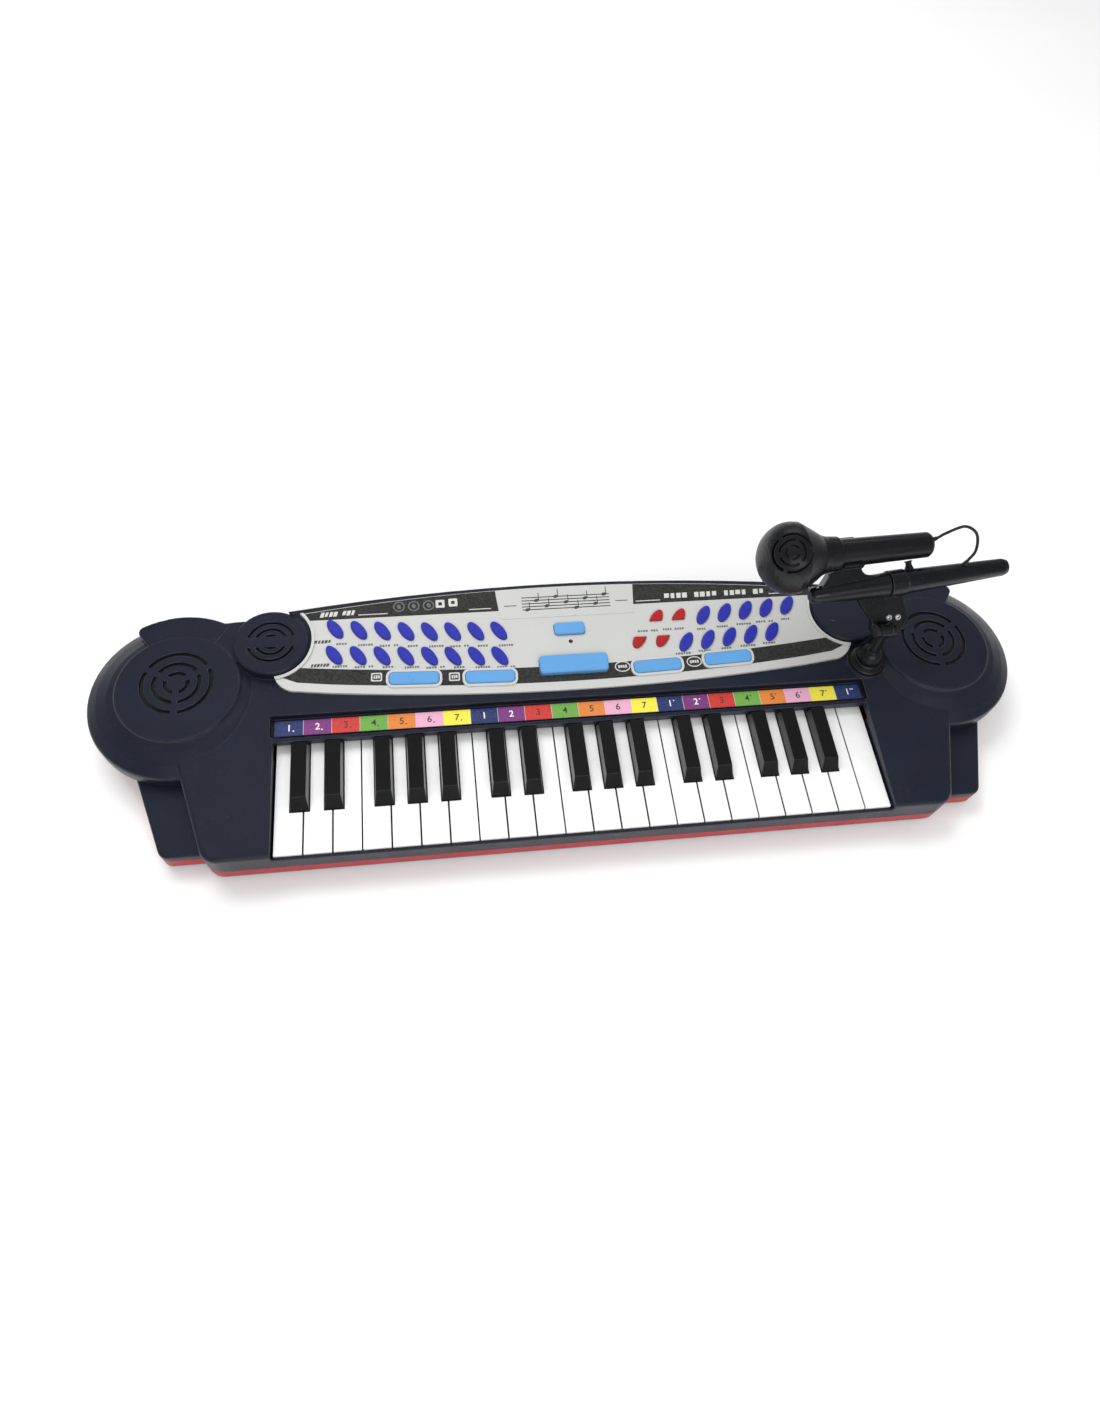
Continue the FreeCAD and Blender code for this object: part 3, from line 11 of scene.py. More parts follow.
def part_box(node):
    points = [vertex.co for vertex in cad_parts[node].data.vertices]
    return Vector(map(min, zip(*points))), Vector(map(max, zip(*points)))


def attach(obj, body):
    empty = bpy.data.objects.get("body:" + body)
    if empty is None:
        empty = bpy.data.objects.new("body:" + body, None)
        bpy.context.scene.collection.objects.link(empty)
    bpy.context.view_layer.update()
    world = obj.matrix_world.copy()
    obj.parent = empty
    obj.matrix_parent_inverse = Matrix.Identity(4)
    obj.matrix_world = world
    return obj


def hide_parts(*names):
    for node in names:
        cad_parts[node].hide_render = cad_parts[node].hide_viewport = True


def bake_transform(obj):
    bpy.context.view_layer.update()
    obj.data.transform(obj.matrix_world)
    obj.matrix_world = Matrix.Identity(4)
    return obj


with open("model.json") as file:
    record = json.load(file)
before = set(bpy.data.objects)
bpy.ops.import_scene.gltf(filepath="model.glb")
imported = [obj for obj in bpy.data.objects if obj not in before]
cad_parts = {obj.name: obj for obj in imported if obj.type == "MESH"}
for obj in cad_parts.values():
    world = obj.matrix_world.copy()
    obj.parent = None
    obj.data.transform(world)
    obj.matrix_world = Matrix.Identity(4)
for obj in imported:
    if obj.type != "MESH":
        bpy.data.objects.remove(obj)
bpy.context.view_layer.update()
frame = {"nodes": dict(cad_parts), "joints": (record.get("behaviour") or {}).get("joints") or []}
NODES = frame["nodes"]
MM = 0.001

# ---- places, worked out from the frame ----

WHITE_COUNT = 22
FIRST_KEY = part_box("white_key_01")
LAST_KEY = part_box("white_key_22")
PITCH = (LAST_KEY[0].x - FIRST_KEY[0].x) / (WHITE_COUNT - 1)
KEY_FRONT_Y = FIRST_KEY[0].y - 0.6 * MM

PANEL_T = 2.0 * MM
PANEL_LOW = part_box("control_panel")[0]
PRESS_AXIS = next(joint for joint in frame["joints"] if joint["name"] == "start_press")["axis"]
NORMAL = -Vector(PRESS_AXIS)
SLOPE = math.atan2(-NORMAL.y, NORMAL.z)
UP_SLOPE = Vector((0, math.cos(SLOPE), math.sin(SLOPE)))
PANEL_FRONT = Vector((0, PANEL_LOW.y, PANEL_LOW.z + PANEL_T / math.cos(SLOPE)))

STRIP_LOW, STRIP_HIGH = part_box("note_strip")


def plan_y(ky):
    """Y of a line ky key widths behind the front of the white keys."""
    return KEY_FRONT_Y + ky * PITCH


def panel_matrix(kx, ky, turn_deg=0.0):
    """Frame on the panel's face at (kx, ky): X to the right, Y up the slope, Z out of the face."""
    run = (plan_y(ky) - PANEL_FRONT.y) / math.cos(SLOPE)
    spot = PANEL_FRONT + Vector((kx * PITCH, 0, 0)) + UP_SLOPE * run
    tilt = Matrix.Rotation(SLOPE, 4, "X") @ Matrix.Rotation(math.radians(turn_deg), 4, "Z")
    return Matrix.Translation(spot) @ tilt


# ---- material building ----

class Look:
    """Builds one procedural material; the patterns are in the piece's own metres."""

    def __init__(self, name):
        self.material = bpy.data.materials.new(name)
        self.material.use_nodes = True
        self.tree = self.material.node_tree
        self.shader = self.tree.nodes["Principled BSDF"]
        self.place = self.node("ShaderNodeTexCoord").outputs["Object"]
        self.bump = None

    def node(self, kind, **inputs):
        made = self.tree.nodes.new(kind)
        for name, value in inputs.items():
            self.put(value, made.inputs[name.replace("_", " ")])
        return made

    def put(self, value, socket):
        """Links an output to the socket, or sets the socket to a plain value."""
        if isinstance(value, bpy.types.NodeSocket):
            self.tree.links.new(value, socket)
        else:
            socket.default_value = value

    def stretched(self, scale_x, scale_y, scale_z):
        mapping = self.node("ShaderNodeMapping", Vector=self.place)
        mapping.inputs["Scale"].default_value = (scale_x, scale_y, scale_z)
        return mapping.outputs["Vector"]

    def noise(self, size, detail=3.0, roughness=0.55, place=None):
        """Noise whose features are about size metres across."""
        made = self.node("ShaderNodeTexNoise", Vector=place or self.place, Scale=1.0 / size,
                         Detail=detail, Roughness=roughness)
        return made.outputs["Fac"]

    def span(self, value, low, high, to_low, to_high):
        made = self.node("ShaderNodeMapRange", Value=value, From_Min=low, From_Max=high,
                         To_Min=to_low, To_Max=to_high)
        return made.outputs["Result"]

    def sum(self, first, second, operation="ADD"):
        made = self.tree.nodes.new("ShaderNodeMath")
        made.operation = operation
        self.put(first, made.inputs[0])
        self.put(second, made.inputs[1])
        return made.outputs[0]

    def mix(self, share, first, second, blend="MIX"):
        made = self.tree.nodes.new("ShaderNodeMix")
        made.data_type = "RGBA"
        made.blend_type = blend
        self.put(share, made.inputs["Factor"])
        self.put(first, made.inputs[6])
        self.put(second, made.inputs[7])
        return made.outputs[2]

    def edges(self, radius):
        """1 on edges sharper than radius, 0 on flat faces."""
        rounded = self.node("ShaderNodeBevel", Radius=radius)
        flat = self.tree.nodes.new("ShaderNodeNewGeometry")
        dot = self.tree.nodes.new("ShaderNodeVectorMath")
        dot.operation = "DOT_PRODUCT"
        self.put(rounded.outputs["Normal"], dot.inputs[0])
        self.put(flat.outputs["Normal"], dot.inputs[1])
        return self.span(dot.outputs["Value"], 0.995, 0.8, 0.0, 1.0)

    def relief(self, height, depth):
        """Adds a layer of bump; depth is in metres."""
        made = self.node("ShaderNodeBump", Height=height, Distance=depth, Strength=1.0)
        if self.bump is not None:
            self.put(self.bump, made.inputs["Normal"])
        self.bump = made.outputs["Normal"]

    def finish(self, colour, roughness, **settings):
        self.put(colour, self.shader.inputs["Base Color"])
        self.put(roughness, self.shader.inputs["Roughness"])
        if self.bump is not None:
            self.put(self.bump, self.shader.inputs["Normal"])
        for name, value in settings.items():
            self.put(value, self.shader.inputs[name.replace("_", " ")])
        return self.material


def rgb(red, green, blue):
    """Colour from display values of 0 to 255."""
    linear = []
    for channel in (red, green, blue):
        value = channel / 255.0
        linear.append(value / 12.92 if value <= 0.04045 else ((value + 0.055) / 1.055) ** 2.4)
    return (*linear, 1.0)


def lighter(colour, amount):
    return tuple(channel + (1.0 - channel) * amount for channel in colour[:3]) + (1.0,)


def scaled(colour, amount):
    return tuple(channel * amount for channel in colour[:3]) + (1.0,)


def moulded(name, colour, roughness, grain=0.5 * MM, grain_depth=0.02 * MM, mottle=0.08,
            wear_and_edge_highlight=0.12, edge=0.5 * MM, **settings):
    """Injection-moulded plastic: fine spark grain, faint flow mottling, smudges, and edges lightened partly
    as rubbed wear and partly as a painted highlight on the lips.
    """
    look = Look(name)
    look.bump = look.node("ShaderNodeBevel", Radius=edge * 2.2).outputs["Normal"]
    flow = look.noise(35 * MM, 2.0)
    shade = look.mix(look.span(flow, 0.3, 0.7, 0.0, 1.0), scaled(colour, 1 - mottle),
                     scaled(colour, 1 + mottle))
    speck = look.noise(1.2 * MM, 2.0)
    shade = look.mix(look.span(speck, 0.62, 0.75, 0.0, 0.25), shade, lighter(colour, 0.08))
    # Convex edges are lightened: partly rubbed wear, partly a painted highlight standing in for light
    # catching the lips.
    rub_and_highlight = look.sum(look.edges(edge), look.span(look.noise(6 * MM), 0.35, 0.65, 0.3, 1.0), "MULTIPLY")
    shade = look.mix(look.sum(rub_and_highlight, wear_and_edge_highlight * 4, "MULTIPLY"), shade, lighter(colour, wear_and_edge_highlight))
    smudge = look.span(look.noise(22 * MM, 4.0), 0.35, 0.7, -0.05, 0.07)
    fine = look.span(look.noise(2.5 * MM, 3.0), 0.3, 0.7, -0.03, 0.03)
    rough = look.sum(look.sum(smudge, fine), roughness)
    if grain_depth > 0:
        look.relief(look.noise(grain, 2.0, 0.7), grain_depth)
    look.relief(look.noise(9 * MM, 1.0), 0.012 * MM)
    return look.finish(shade, rough, **settings)


def base_plastic(name, colour):
    """Coloured moulding with painted shade: it falls off to near black where the casing closes over it."""
    look = Look(name)
    look.bump = look.node("ShaderNodeBevel", Radius=0.7 * MM).outputs["Normal"]
    flow = look.noise(30 * MM, 2.0)
    shade = look.mix(look.span(flow, 0.3, 0.7, 0.0, 1.0), scaled(colour, 0.9), scaled(colour, 1.08))
    # Painted shade: parts enclosed by the casing, found by ambient occlusion, darken to near black.
    painted_shade_ao = look.node("ShaderNodeAmbientOcclusion", Distance=0.05)
    shade = look.mix(look.span(painted_shade_ao.outputs["AO"], 0.1, 0.32, 0.0, 1.0), rgb(14, 8, 10), shade)
    look.relief(look.noise(0.5 * MM, 2.0, 0.7), 0.02 * MM)
    return look.finish(shade, look.span(look.noise(20 * MM, 4.0), 0.3, 0.7, 0.34, 0.46))


def glossy_key(name, colour, roughness, edge_highlight_colour):
    """Polished key: fine lengthwise scratches, thin coat, faint finger marks, a painted highlight along its
    edges and painted shade on the sides where keys face each other.
    """
    look = Look(name)
    along = look.stretched(1.0, 0.03, 1.0)
    scratch = look.noise(0.35 * MM, 4.0, 0.7, along)
    marks = look.noise(12 * MM, 4.0)
    shade = look.mix(look.span(marks, 0.35, 0.7, 0.0, 1.0), colour, scaled(colour, 0.95))
    # Painted highlight: edges are lightened towards the highlight colour.
    shade = look.mix(look.sum(look.edges(0.4 * MM), 0.5, "MULTIPLY"), shade, edge_highlight_colour)
    # Painted shade: where neighbouring keys close in, found by ambient occlusion, the colour darkens nearly
    # to black.
    painted_shade_ao = look.node("ShaderNodeAmbientOcclusion", Distance=5 * MM)
    shade = look.mix(look.span(painted_shade_ao.outputs["AO"], 0.12, 0.4, 0.0, 1.0), scaled(colour, 0.08), shade)
    rough = look.sum(look.span(scratch, 0.5, 0.75, 0.0, 0.12), look.span(marks, 0.3, 0.7, -0.03, 0.08))
    look.relief(scratch, 0.004 * MM)
    return look.finish(shade, look.sum(rough, roughness), Coat_Weight=0.35, Coat_Roughness=0.08)


def painted_panel(name, colour):
    """Silver-grey satin paint with a fine flake, slight orange peel and a painted highlight along its edges.
    """
    look = Look(name)
    flake = look.noise(0.5 * MM, 2.0, 0.8)
    cloud = look.noise(60 * MM, 2.0)
    shade = look.mix(look.span(flake, 0.4, 0.65, 0.0, 1.0), scaled(colour, 0.93), lighter(colour, 0.12))
    shade = look.mix(look.span(cloud, 0.3, 0.7, 0.0, 1.0), shade, scaled(colour, 0.96))
    # Painted highlight: edges are lightened halfway to white.
    shade = look.mix(look.sum(look.edges(0.5 * MM), 0.5, "MULTIPLY"), shade, lighter(colour, 0.5))
    rough = look.span(flake, 0.3, 0.7, 0.3, 0.44)
    look.relief(flake, 0.006 * MM)
    look.relief(look.noise(4 * MM, 2.0), 0.01 * MM)
    return look.finish(shade, rough, Metallic=0.15)


def printed(name, colour, roughness=0.38):
    """Screen-printed ink: a slight ink-density mottle and a fine mesh relief."""
    look = Look(name)
    density = look.noise(1.5 * MM, 3.0)
    shade = look.mix(look.span(density, 0.3, 0.7, 0.0, 1.0), scaled(colour, 0.92), lighter(colour, 0.04))
    rough = look.span(look.noise(5 * MM), 0.3, 0.7, roughness - 0.06, roughness + 0.08)
    look.relief(look.noise(0.3 * MM, 1.0), 0.004 * MM)
    return look.finish(shade, rough)


def silicone(name, colour, rim_highlight):
    """Soft rubber: matt, with a painted highlight that lightens the rim where the skin turns away, and a
    powdery sheen.
    """
    look = Look(name)
    facing = look.node("ShaderNodeLayerWeight", Blend=0.35).outputs["Facing"]
    patch = look.noise(3 * MM, 3.0)
    shade = look.mix(look.span(patch, 0.3, 0.7, 0.0, 1.0), scaled(colour, 0.88), scaled(colour, 1.1))
    # Painted highlight: the colour turns lighter towards the rim as the skin turns away from view.
    shade = look.mix(look.span(facing, 0.25, 0.9, 0.0, 0.75), shade, rim_highlight)
    rough = look.span(look.noise(1.2 * MM, 3.0), 0.3, 0.7, 0.36, 0.52)
    look.relief(look.noise(0.25 * MM, 2.0, 0.7), 0.012 * MM)
    return look.finish(shade, rough, Sheen_Weight=0.15, Sheen_Roughness=0.4)


def plated_steel(name):
    look = Look(name)
    turned = look.noise(0.25 * MM, 3.0, 0.7, look.stretched(1.0, 0.1, 1.0))
    shade = look.mix(look.span(turned, 0.3, 0.7, 0.0, 1.0), rgb(196, 198, 200), rgb(235, 235, 232))
    look.relief(turned, 0.006 * MM)
    return look.finish(shade, look.span(turned, 0.3, 0.7, 0.18, 0.34), Metallic=0.5)


def circuit_board(name):
    """Green solder mask over copper tracks that run in straight lines."""
    look = Look(name)
    tracks = look.node("ShaderNodeTexBrick", Vector=look.place, Scale=180.0, Mortar_Size=0.04)
    shade = look.mix(look.span(tracks.outputs["Fac"], 0.0, 1.0, 0.0, 0.6), rgb(22, 96, 48), rgb(60, 140, 70))
    look.relief(tracks.outputs["Fac"], 0.03 * MM)
    return look.finish(shade, look.span(look.noise(2 * MM), 0.3, 0.7, 0.3, 0.45))


def woven_cloth(name):
    """Black dust cloth behind the speaker slots."""
    look = Look(name)
    warp = look.node("ShaderNodeTexWave", Vector=look.place, Scale=420.0, Distortion=0.3)
    weft = look.node("ShaderNodeTexWave", Vector=look.place, Scale=420.0, Distortion=0.3)
    weft.bands_direction = "Y"
    weave = look.sum(warp.outputs["Fac"], weft.outputs["Fac"], "MULTIPLY")
    look.relief(weave, 0.15 * MM)
    shade = look.mix(weave, rgb(12, 13, 16), rgb(34, 35, 40))
    return look.finish(shade, 0.85, Sheen_Weight=0.3)


def lamp_lens(name):
    look = Look(name)
    facing = look.node("ShaderNodeLayerWeight", Blend=0.4).outputs["Facing"]
    # Painted highlight: the lens turns lighter red towards its rim as the surface turns away from view.
    shade = look.mix(facing, rgb(70, 8, 10), rgb(150, 30, 30))
    rough = look.span(look.noise(0.6 * MM), 0.3, 0.7, 0.08, 0.16)
    return look.finish(shade, rough, Coat_Weight=0.6)


def pale_floor(name):
    look = Look(name)
    cloud = look.noise(0.4, 2.0)
    shade = look.mix(look.span(cloud, 0.3, 0.7, 0.0, 1.0), rgb(250, 250, 250), rgb(254, 254, 254))
    return look.finish(shade, 0.7)


NAVY = rgb(23, 29, 45)
# In the moulded finishes the wear value lightens edges, part rubbed wear and part painted highlight.
CASING = moulded("casing_plastic", NAVY, 0.38, grain_depth=0.02 * MM, wear_and_edge_highlight=0.17, edge=0.8 * MM)
RED_BASE = base_plastic("red_base_plastic", rgb(168, 30, 40))
SILVER = painted_panel("silver_panel_paint", rgb(205, 206, 203))
BAND = printed("band_ink", rgb(22, 24, 20))
LIGHT_INK = printed("light_ink", rgb(205, 205, 200))
GREY_INK = printed("grey_ink", rgb(98, 100, 98))
DARK_INK = printed("dark_ink", rgb(58, 60, 56))
# The second colour of each silicone finish is its painted rim highlight.
BLUE = silicone("blue_silicone", rgb(34, 40, 160), rgb(84, 96, 206))
RED = silicone("red_silicone", rgb(170, 10, 18), rgb(206, 62, 60))
SKY = moulded("sky_plastic", rgb(92, 154, 210), 0.34, grain_depth=0.008 * MM, mottle=0.03, wear_and_edge_highlight=0.25)
BOARD = circuit_board("circuit_board_mask")
CLEAR_RUBBER = silicone("contact_rubber", rgb(190, 190, 184), rgb(220, 220, 214))
SPEAKER = moulded("speaker_paper", rgb(30, 31, 34), 0.75, grain=1.2 * MM, grain_depth=0.08 * MM)
CLOTH = woven_cloth("dust_cloth")
# Dark flat colour that stands in for the shade inside recesses: painted shade.
RECESS_SHADE = printed("recess_painted_shade", rgb(44, 46, 50))
STEEL = plated_steel("plated_steel")
FOOT_RUBBER = silicone("foot_rubber", rgb(30, 30, 32), rgb(60, 60, 62))
STAND = moulded("stand_plastic", rgb(14, 16, 22), 0.32, grain_depth=0.012 * MM, wear_and_edge_highlight=0.2)
MIC = moulded("microphone_plastic", rgb(14, 15, 20), 0.36, grain_depth=0.02 * MM, wear_and_edge_highlight=0.12)
CABLE = silicone("cable_rubber", rgb(26, 27, 30), rgb(60, 62, 68))
STRIP_BASE = printed("strip_film", rgb(46, 48, 62), 0.3)
# The last colour given to each key is its painted edge highlight.
WHITE_KEY = glossy_key("white_key_plastic", rgb(246, 246, 246), 0.26, rgb(255, 255, 255))
BLACK_KEY = glossy_key("black_key_plastic", rgb(9, 9, 12), 0.3, rgb(46, 48, 56))

# Cells of the note strip, in the order of the scale.
CELL_INKS = [
    printed("cell_navy", rgb(14, 40, 100)),
    printed("cell_purple", rgb(118, 40, 118)),
    printed("cell_red", rgb(200, 42, 30)),
    printed("cell_green", rgb(104, 164, 62)),
    printed("cell_orange", rgb(222, 128, 44)),
    printed("cell_pink", rgb(230, 168, 198)),
    printed("cell_yellow", rgb(244, 228, 62)),
]
WHITE_DIGIT = printed("digit_white", rgb(238, 238, 242))
DARK_DIGIT = printed("digit_dark", rgb(60, 44, 40))


def dress(names, material):
    """Gives CAD nodes their finish."""
    for name in names:
        mesh = NODES[name].data
        mesh.materials.clear()
        mesh.materials.append(material)


WHITE_KEYS = ["white_key_%02d" % number for number in range(1, WHITE_COUNT + 1)]
BLACK_KEYS = sorted(name for name in NODES if name.startswith("black_key_"))

dress(["top_case"], CASING)
dress(["bottom_case", "battery_door"], RED_BASE)
dress(["control_panel"], SILVER)
dress(["note_strip"], STRIP_BASE)
dress(["blue_keypad_left", "blue_keypad_right"], BLUE)
dress(["red_keypad"], RED)
dress(["mode_buttons", "start_button", "power_button"], SKY)
dress(["circuit_boards"], BOARD)
dress(["contact_strip"], CLEAR_RUBBER)
dress(["speaker_drivers"], SPEAKER)
dress(["case_screws"], STEEL)
dress(["rubber_feet"], FOOT_RUBBER)
dress(["mic_stand_base", "mic_lower_arm", "mic_bracket", "mic_boom"], STAND)
dress(["mic_handle", "mic_head"], MIC)
dress(["mic_cable"], CABLE)
dress(WHITE_KEYS, WHITE_KEY)
dress(BLACK_KEYS, BLACK_KEY)


# ---- mesh building ----

def piece(name, mesh_maker, materials, body):
    """Makes an object from a bmesh, gives it its finish and lets it ride on its body, if it names one."""
    shape = bmesh.new()
    mesh_maker(shape)
    bmesh.ops.recalc_face_normals(shape, faces=shape.faces)
    mesh = bpy.data.meshes.new(name)
    shape.to_mesh(mesh)
    shape.free()
    for material in materials:
        mesh.materials.append(material)
    made = bpy.data.objects.new(name, mesh)
    bpy.context.scene.collection.objects.link(made)
    if body:
        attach(made, body)
    return made


def arc(first, middle, last, steps):
    """Points along the circle through three plan points, both ends included."""
    (ax, ay), (bx, by), (cx, cy) = first, middle, last
    twice = 2 * (ax * (by - cy) + bx * (cy - ay) + cx * (ay - by))
    a2, b2, c2 = ax * ax + ay * ay, bx * bx + by * by, cx * cx + cy * cy
    ox = (a2 * (by - cy) + b2 * (cy - ay) + c2 * (ay - by)) / twice
    oy = (a2 * (cx - bx) + b2 * (ax - cx) + c2 * (bx - ax)) / twice
    radius = math.hypot(ax - ox, ay - oy)
    start = math.atan2(ay - oy, ax - ox)
    sweep = math.atan2(cy - oy, cx - ox) - start
    sweep = (sweep + math.pi) % (2 * math.pi) - math.pi
    return [(ox + radius * math.cos(start + sweep * i / steps),
             oy + radius * math.sin(start + sweep * i / steps)) for i in range(steps + 1)]


def slab(shape, loop, matrix, low, high, material=0):
    """Closed plate from a flat outline in metres, between two heights over the matrix's XY plane."""
    bottom = [shape.verts.new(matrix @ Vector((x, y, low))) for x, y in loop]
    top = [shape.verts.new(matrix @ Vector((x, y, high))) for x, y in loop]
    faces = [shape.faces.new(bottom[::-1]), shape.faces.new(top)]
    count = len(loop)
    for i in range(count):
        j = (i + 1) % count
        faces.append(shape.faces.new((bottom[i], bottom[j], top[j], top[i])))
    for face in faces:
        face.material_index = material


def ring_slab(shape, outer, inner, matrix, low, high, material=0):
    """Closed ring between two outlines with the same number of points."""
    loops = [[shape.verts.new(matrix @ Vector((x, y, z))) for x, y in loop]
             for loop, z in ((outer, low), (outer, high), (inner, high), (inner, low))]
    count = len(outer)
    for a, b in zip(loops, loops[1:] + loops[:1]):
        for i in range(count):
            j = (i + 1) % count
            face = shape.faces.new((a[i], a[j], b[j], b[i]))
            face.material_index = material


def skin(shape, loops):
    """Closed smooth surface through rings of the same number of points, with flat ends."""
    count = len(loops[0])
    for a, b in zip(loops, loops[1:]):
        for i in range(count):
            j = (i + 1) % count
            shape.faces.new((a[i], a[j], b[j], b[i])).smooth = True
    shape.faces.new(loops[0][::-1])
    shape.faces.new(loops[-1])


def ellipse(radius_x, radius_y, steps=28):
    return [(radius_x * math.cos(2 * math.pi * i / steps), radius_y * math.sin(2 * math.pi * i / steps))
            for i in range(steps)]


def key_box(width, depth, radius, steps=5):
    """Rounded rectangle whose sizes are in key widths."""
    return rounded_box(width * PITCH, depth * PITCH, radius * PITCH, steps)


def key_ellipse(radius_x, radius_y, steps=28):
    """Ellipse whose radii are in key widths."""
    return ellipse(radius_x * PITCH, radius_y * PITCH, steps)


DOME_RINGS = 6


def dome(shape, matrix, radius, height, wall, last_deg, around):
    """Round wall under the matrix's XY plane with a dome above it, cut flat at last_deg."""
    rims = [(radius, -wall)]
    for row in range(DOME_RINGS):
        angle = math.radians(last_deg) * row / (DOME_RINGS - 1)
        rims.append((radius * math.cos(angle), height * math.sin(angle)))
    loops = []
    for rim, z in rims:
        loops.append([shape.verts.new(matrix @ Vector((x, y, z))) for x, y in ellipse(rim, rim, around)])
    skin(shape, loops)


def rounded_box(width, depth, radius, steps=5):
    """Outline of a rectangle with round corners, centred on the origin."""
    loop = []
    for corner, (sx, sy) in enumerate(((1, 1), (-1, 1), (-1, -1), (1, -1))):
        cx = sx * (width / 2 - radius)
        cy = sy * (depth / 2 - radius)
        for i in range(steps + 1):
            angle = math.pi / 2 * (corner + i / steps)
            loop.append((cx + radius * math.cos(angle), cy + radius * math.sin(angle)))
    return loop


INK_LOW = -0.02 * MM
INK_TOP = 0.05 * MM
INK_OVER = 0.09 * MM


def panel_loop(points):
    """Outline on the panel's face, in metres from its frame at (0, 0), from (kx, ky) points."""
    return [(kx * PITCH, ky * PITCH / math.cos(SLOPE)) for kx, ky in points]


# ---- printed panel ----

BITE_CENTRE = (11.12, 8.06)
BITE_INK_R = 1.51
TAB_HALF_TOP = 2.71
TAB_HALF_LOW = 2.63
BAND_LINE_KY = 8.8
ARCH_INK_KY = (9.085, 9.725)


def bite_x(ky):
    """kx of the ink's edge along the bite that the side disc takes out of the panel."""
    return BITE_CENTRE[0] - math.sqrt(BITE_INK_R ** 2 - (ky - BITE_CENTRE[1]) ** 2)


def arch_ky(kx):
    """ky of the printed arch at kx."""
    drop = ARCH_INK_KY[1] - ARCH_INK_KY[0]
    return ARCH_INK_KY[1] - drop * (kx / bite_x(ARCH_INK_KY[0])) ** 2


def top_band_points():
    """Right half of the dark band under the arch."""
    outer = bite_x(ARCH_INK_KY[0])
    points = [(TAB_HALF_LOW, BAND_LINE_KY), (bite_x(BAND_LINE_KY), BAND_LINE_KY)]
    steps = 16
    points += [(kx, arch_ky(kx)) for kx in
               (outer + (TAB_HALF_TOP - outer) * i / steps for i in range(steps + 1))]
    return points


def low_band_points():
    """Dark band behind the panel's front border."""
    front = [(-10.18, 6.32), *arc((-9.0, 6.17), (0.0, 5.725), (9.0, 6.17), 32), (10.18, 6.32)]
    right = [(10.71, 6.545)] + [(bite_x(ky), ky) for ky in (6.66, 6.78, 6.905)]
    back = arc((bite_x(6.905), 6.905), (0.0, 6.363), (-bite_x(6.905), 6.905), 32)[1:-1]
    left = [(-kx, ky) for kx, ky in reversed(right)]
    return front + right + back + left


MODE_CENTRES = [(-5.965, 6.205, -2.4), (-3.17, 6.08, -1.6), (3.19, 6.125, 1.6), (5.975, 6.28, 2.4)]
MODE_SIZE = (1.84 * PITCH, 0.5 * PITCH)
START_CENTRE = (0.0, 6.385)
START_SIZE = (2.6 * PITCH, 0.74 * PITCH)


def cut_openings(target):
    """Clears the ink from round the mode buttons' bezels and the start button."""
    def openings(shape):
        for kx, ky, turn in MODE_CENTRES:
            loop = rounded_box(MODE_SIZE[0] + 4.0 * MM, MODE_SIZE[1] + 4.0 * MM, 4.6 * MM)
            slab(shape, loop, panel_matrix(kx, ky, turn), -1 * MM, 1 * MM)
        loop = rounded_box(START_SIZE[0] + 0.8 * MM, START_SIZE[1] + 0.8 * MM, 3.4 * MM)
        slab(shape, loop, panel_matrix(*START_CENTRE), -1 * MM, 1 * MM)

    cutter = piece("cutter", openings, [], "case")
    trim = target.modifiers.new("openings", "BOOLEAN")
    trim.object = cutter
    trim.operation = "DIFFERENCE"
    trim.solver = "EXACT"
    graph = bpy.context.evaluated_depsgraph_get()
    cut = bpy.data.meshes.new_from_object(target.evaluated_get(graph))
    target.modifiers.clear()
    target.data = cut
    bpy.data.objects.remove(cutter)


def dark_bands():
    def both(shape):
        right = top_band_points()
        left = [(-kx, ky) for kx, ky in reversed(right)]
        base = panel_matrix(0, 0)
        for points in (right, left, low_band_points()):
            slab(shape, panel_loop(points), base, INK_LOW, INK_TOP)

    cut_openings(piece("panel_dark_bands", both, [BAND], "case"))


TAB_T = 0.35 * MM
TAB_FRONT_KY = 8.43
TAB_HALF_FRONT = TAB_HALF_LOW - 0.04


def centre_tab():
    """Thin raised plate in the middle of the arch, which carries the staff."""
    def plate(shape):
        steps = 10
        top = [TAB_HALF_TOP - 2 * TAB_HALF_TOP * i / steps for i in range(steps + 1)]
        points = [(-TAB_HALF_FRONT, TAB_FRONT_KY), (TAB_HALF_FRONT, TAB_FRONT_KY)]
        points += [(kx, arch_ky(kx)) for kx in top]
        slab(shape, panel_loop(points), panel_matrix(0, 0), INK_LOW, TAB_T)

    tab = piece("panel_centre_tab", plate, [SILVER], "case")
    rounding = tab.modifiers.new("rounded_edges", "BEVEL")
    rounding.width = 0.12 * MM
    rounding.segments = 2


STAFF_CENTRE = (0.0, 9.04)
STAFF_HALF = 1.72
STAFF_GAP_KY = 0.13
STAFF_LINE_HALF = 0.02
LINE_W = 0.035
NOTE_COUNT = 9
NOTE_STEP = 0.38
DASH_CENTRE = (2.18, 8.98)


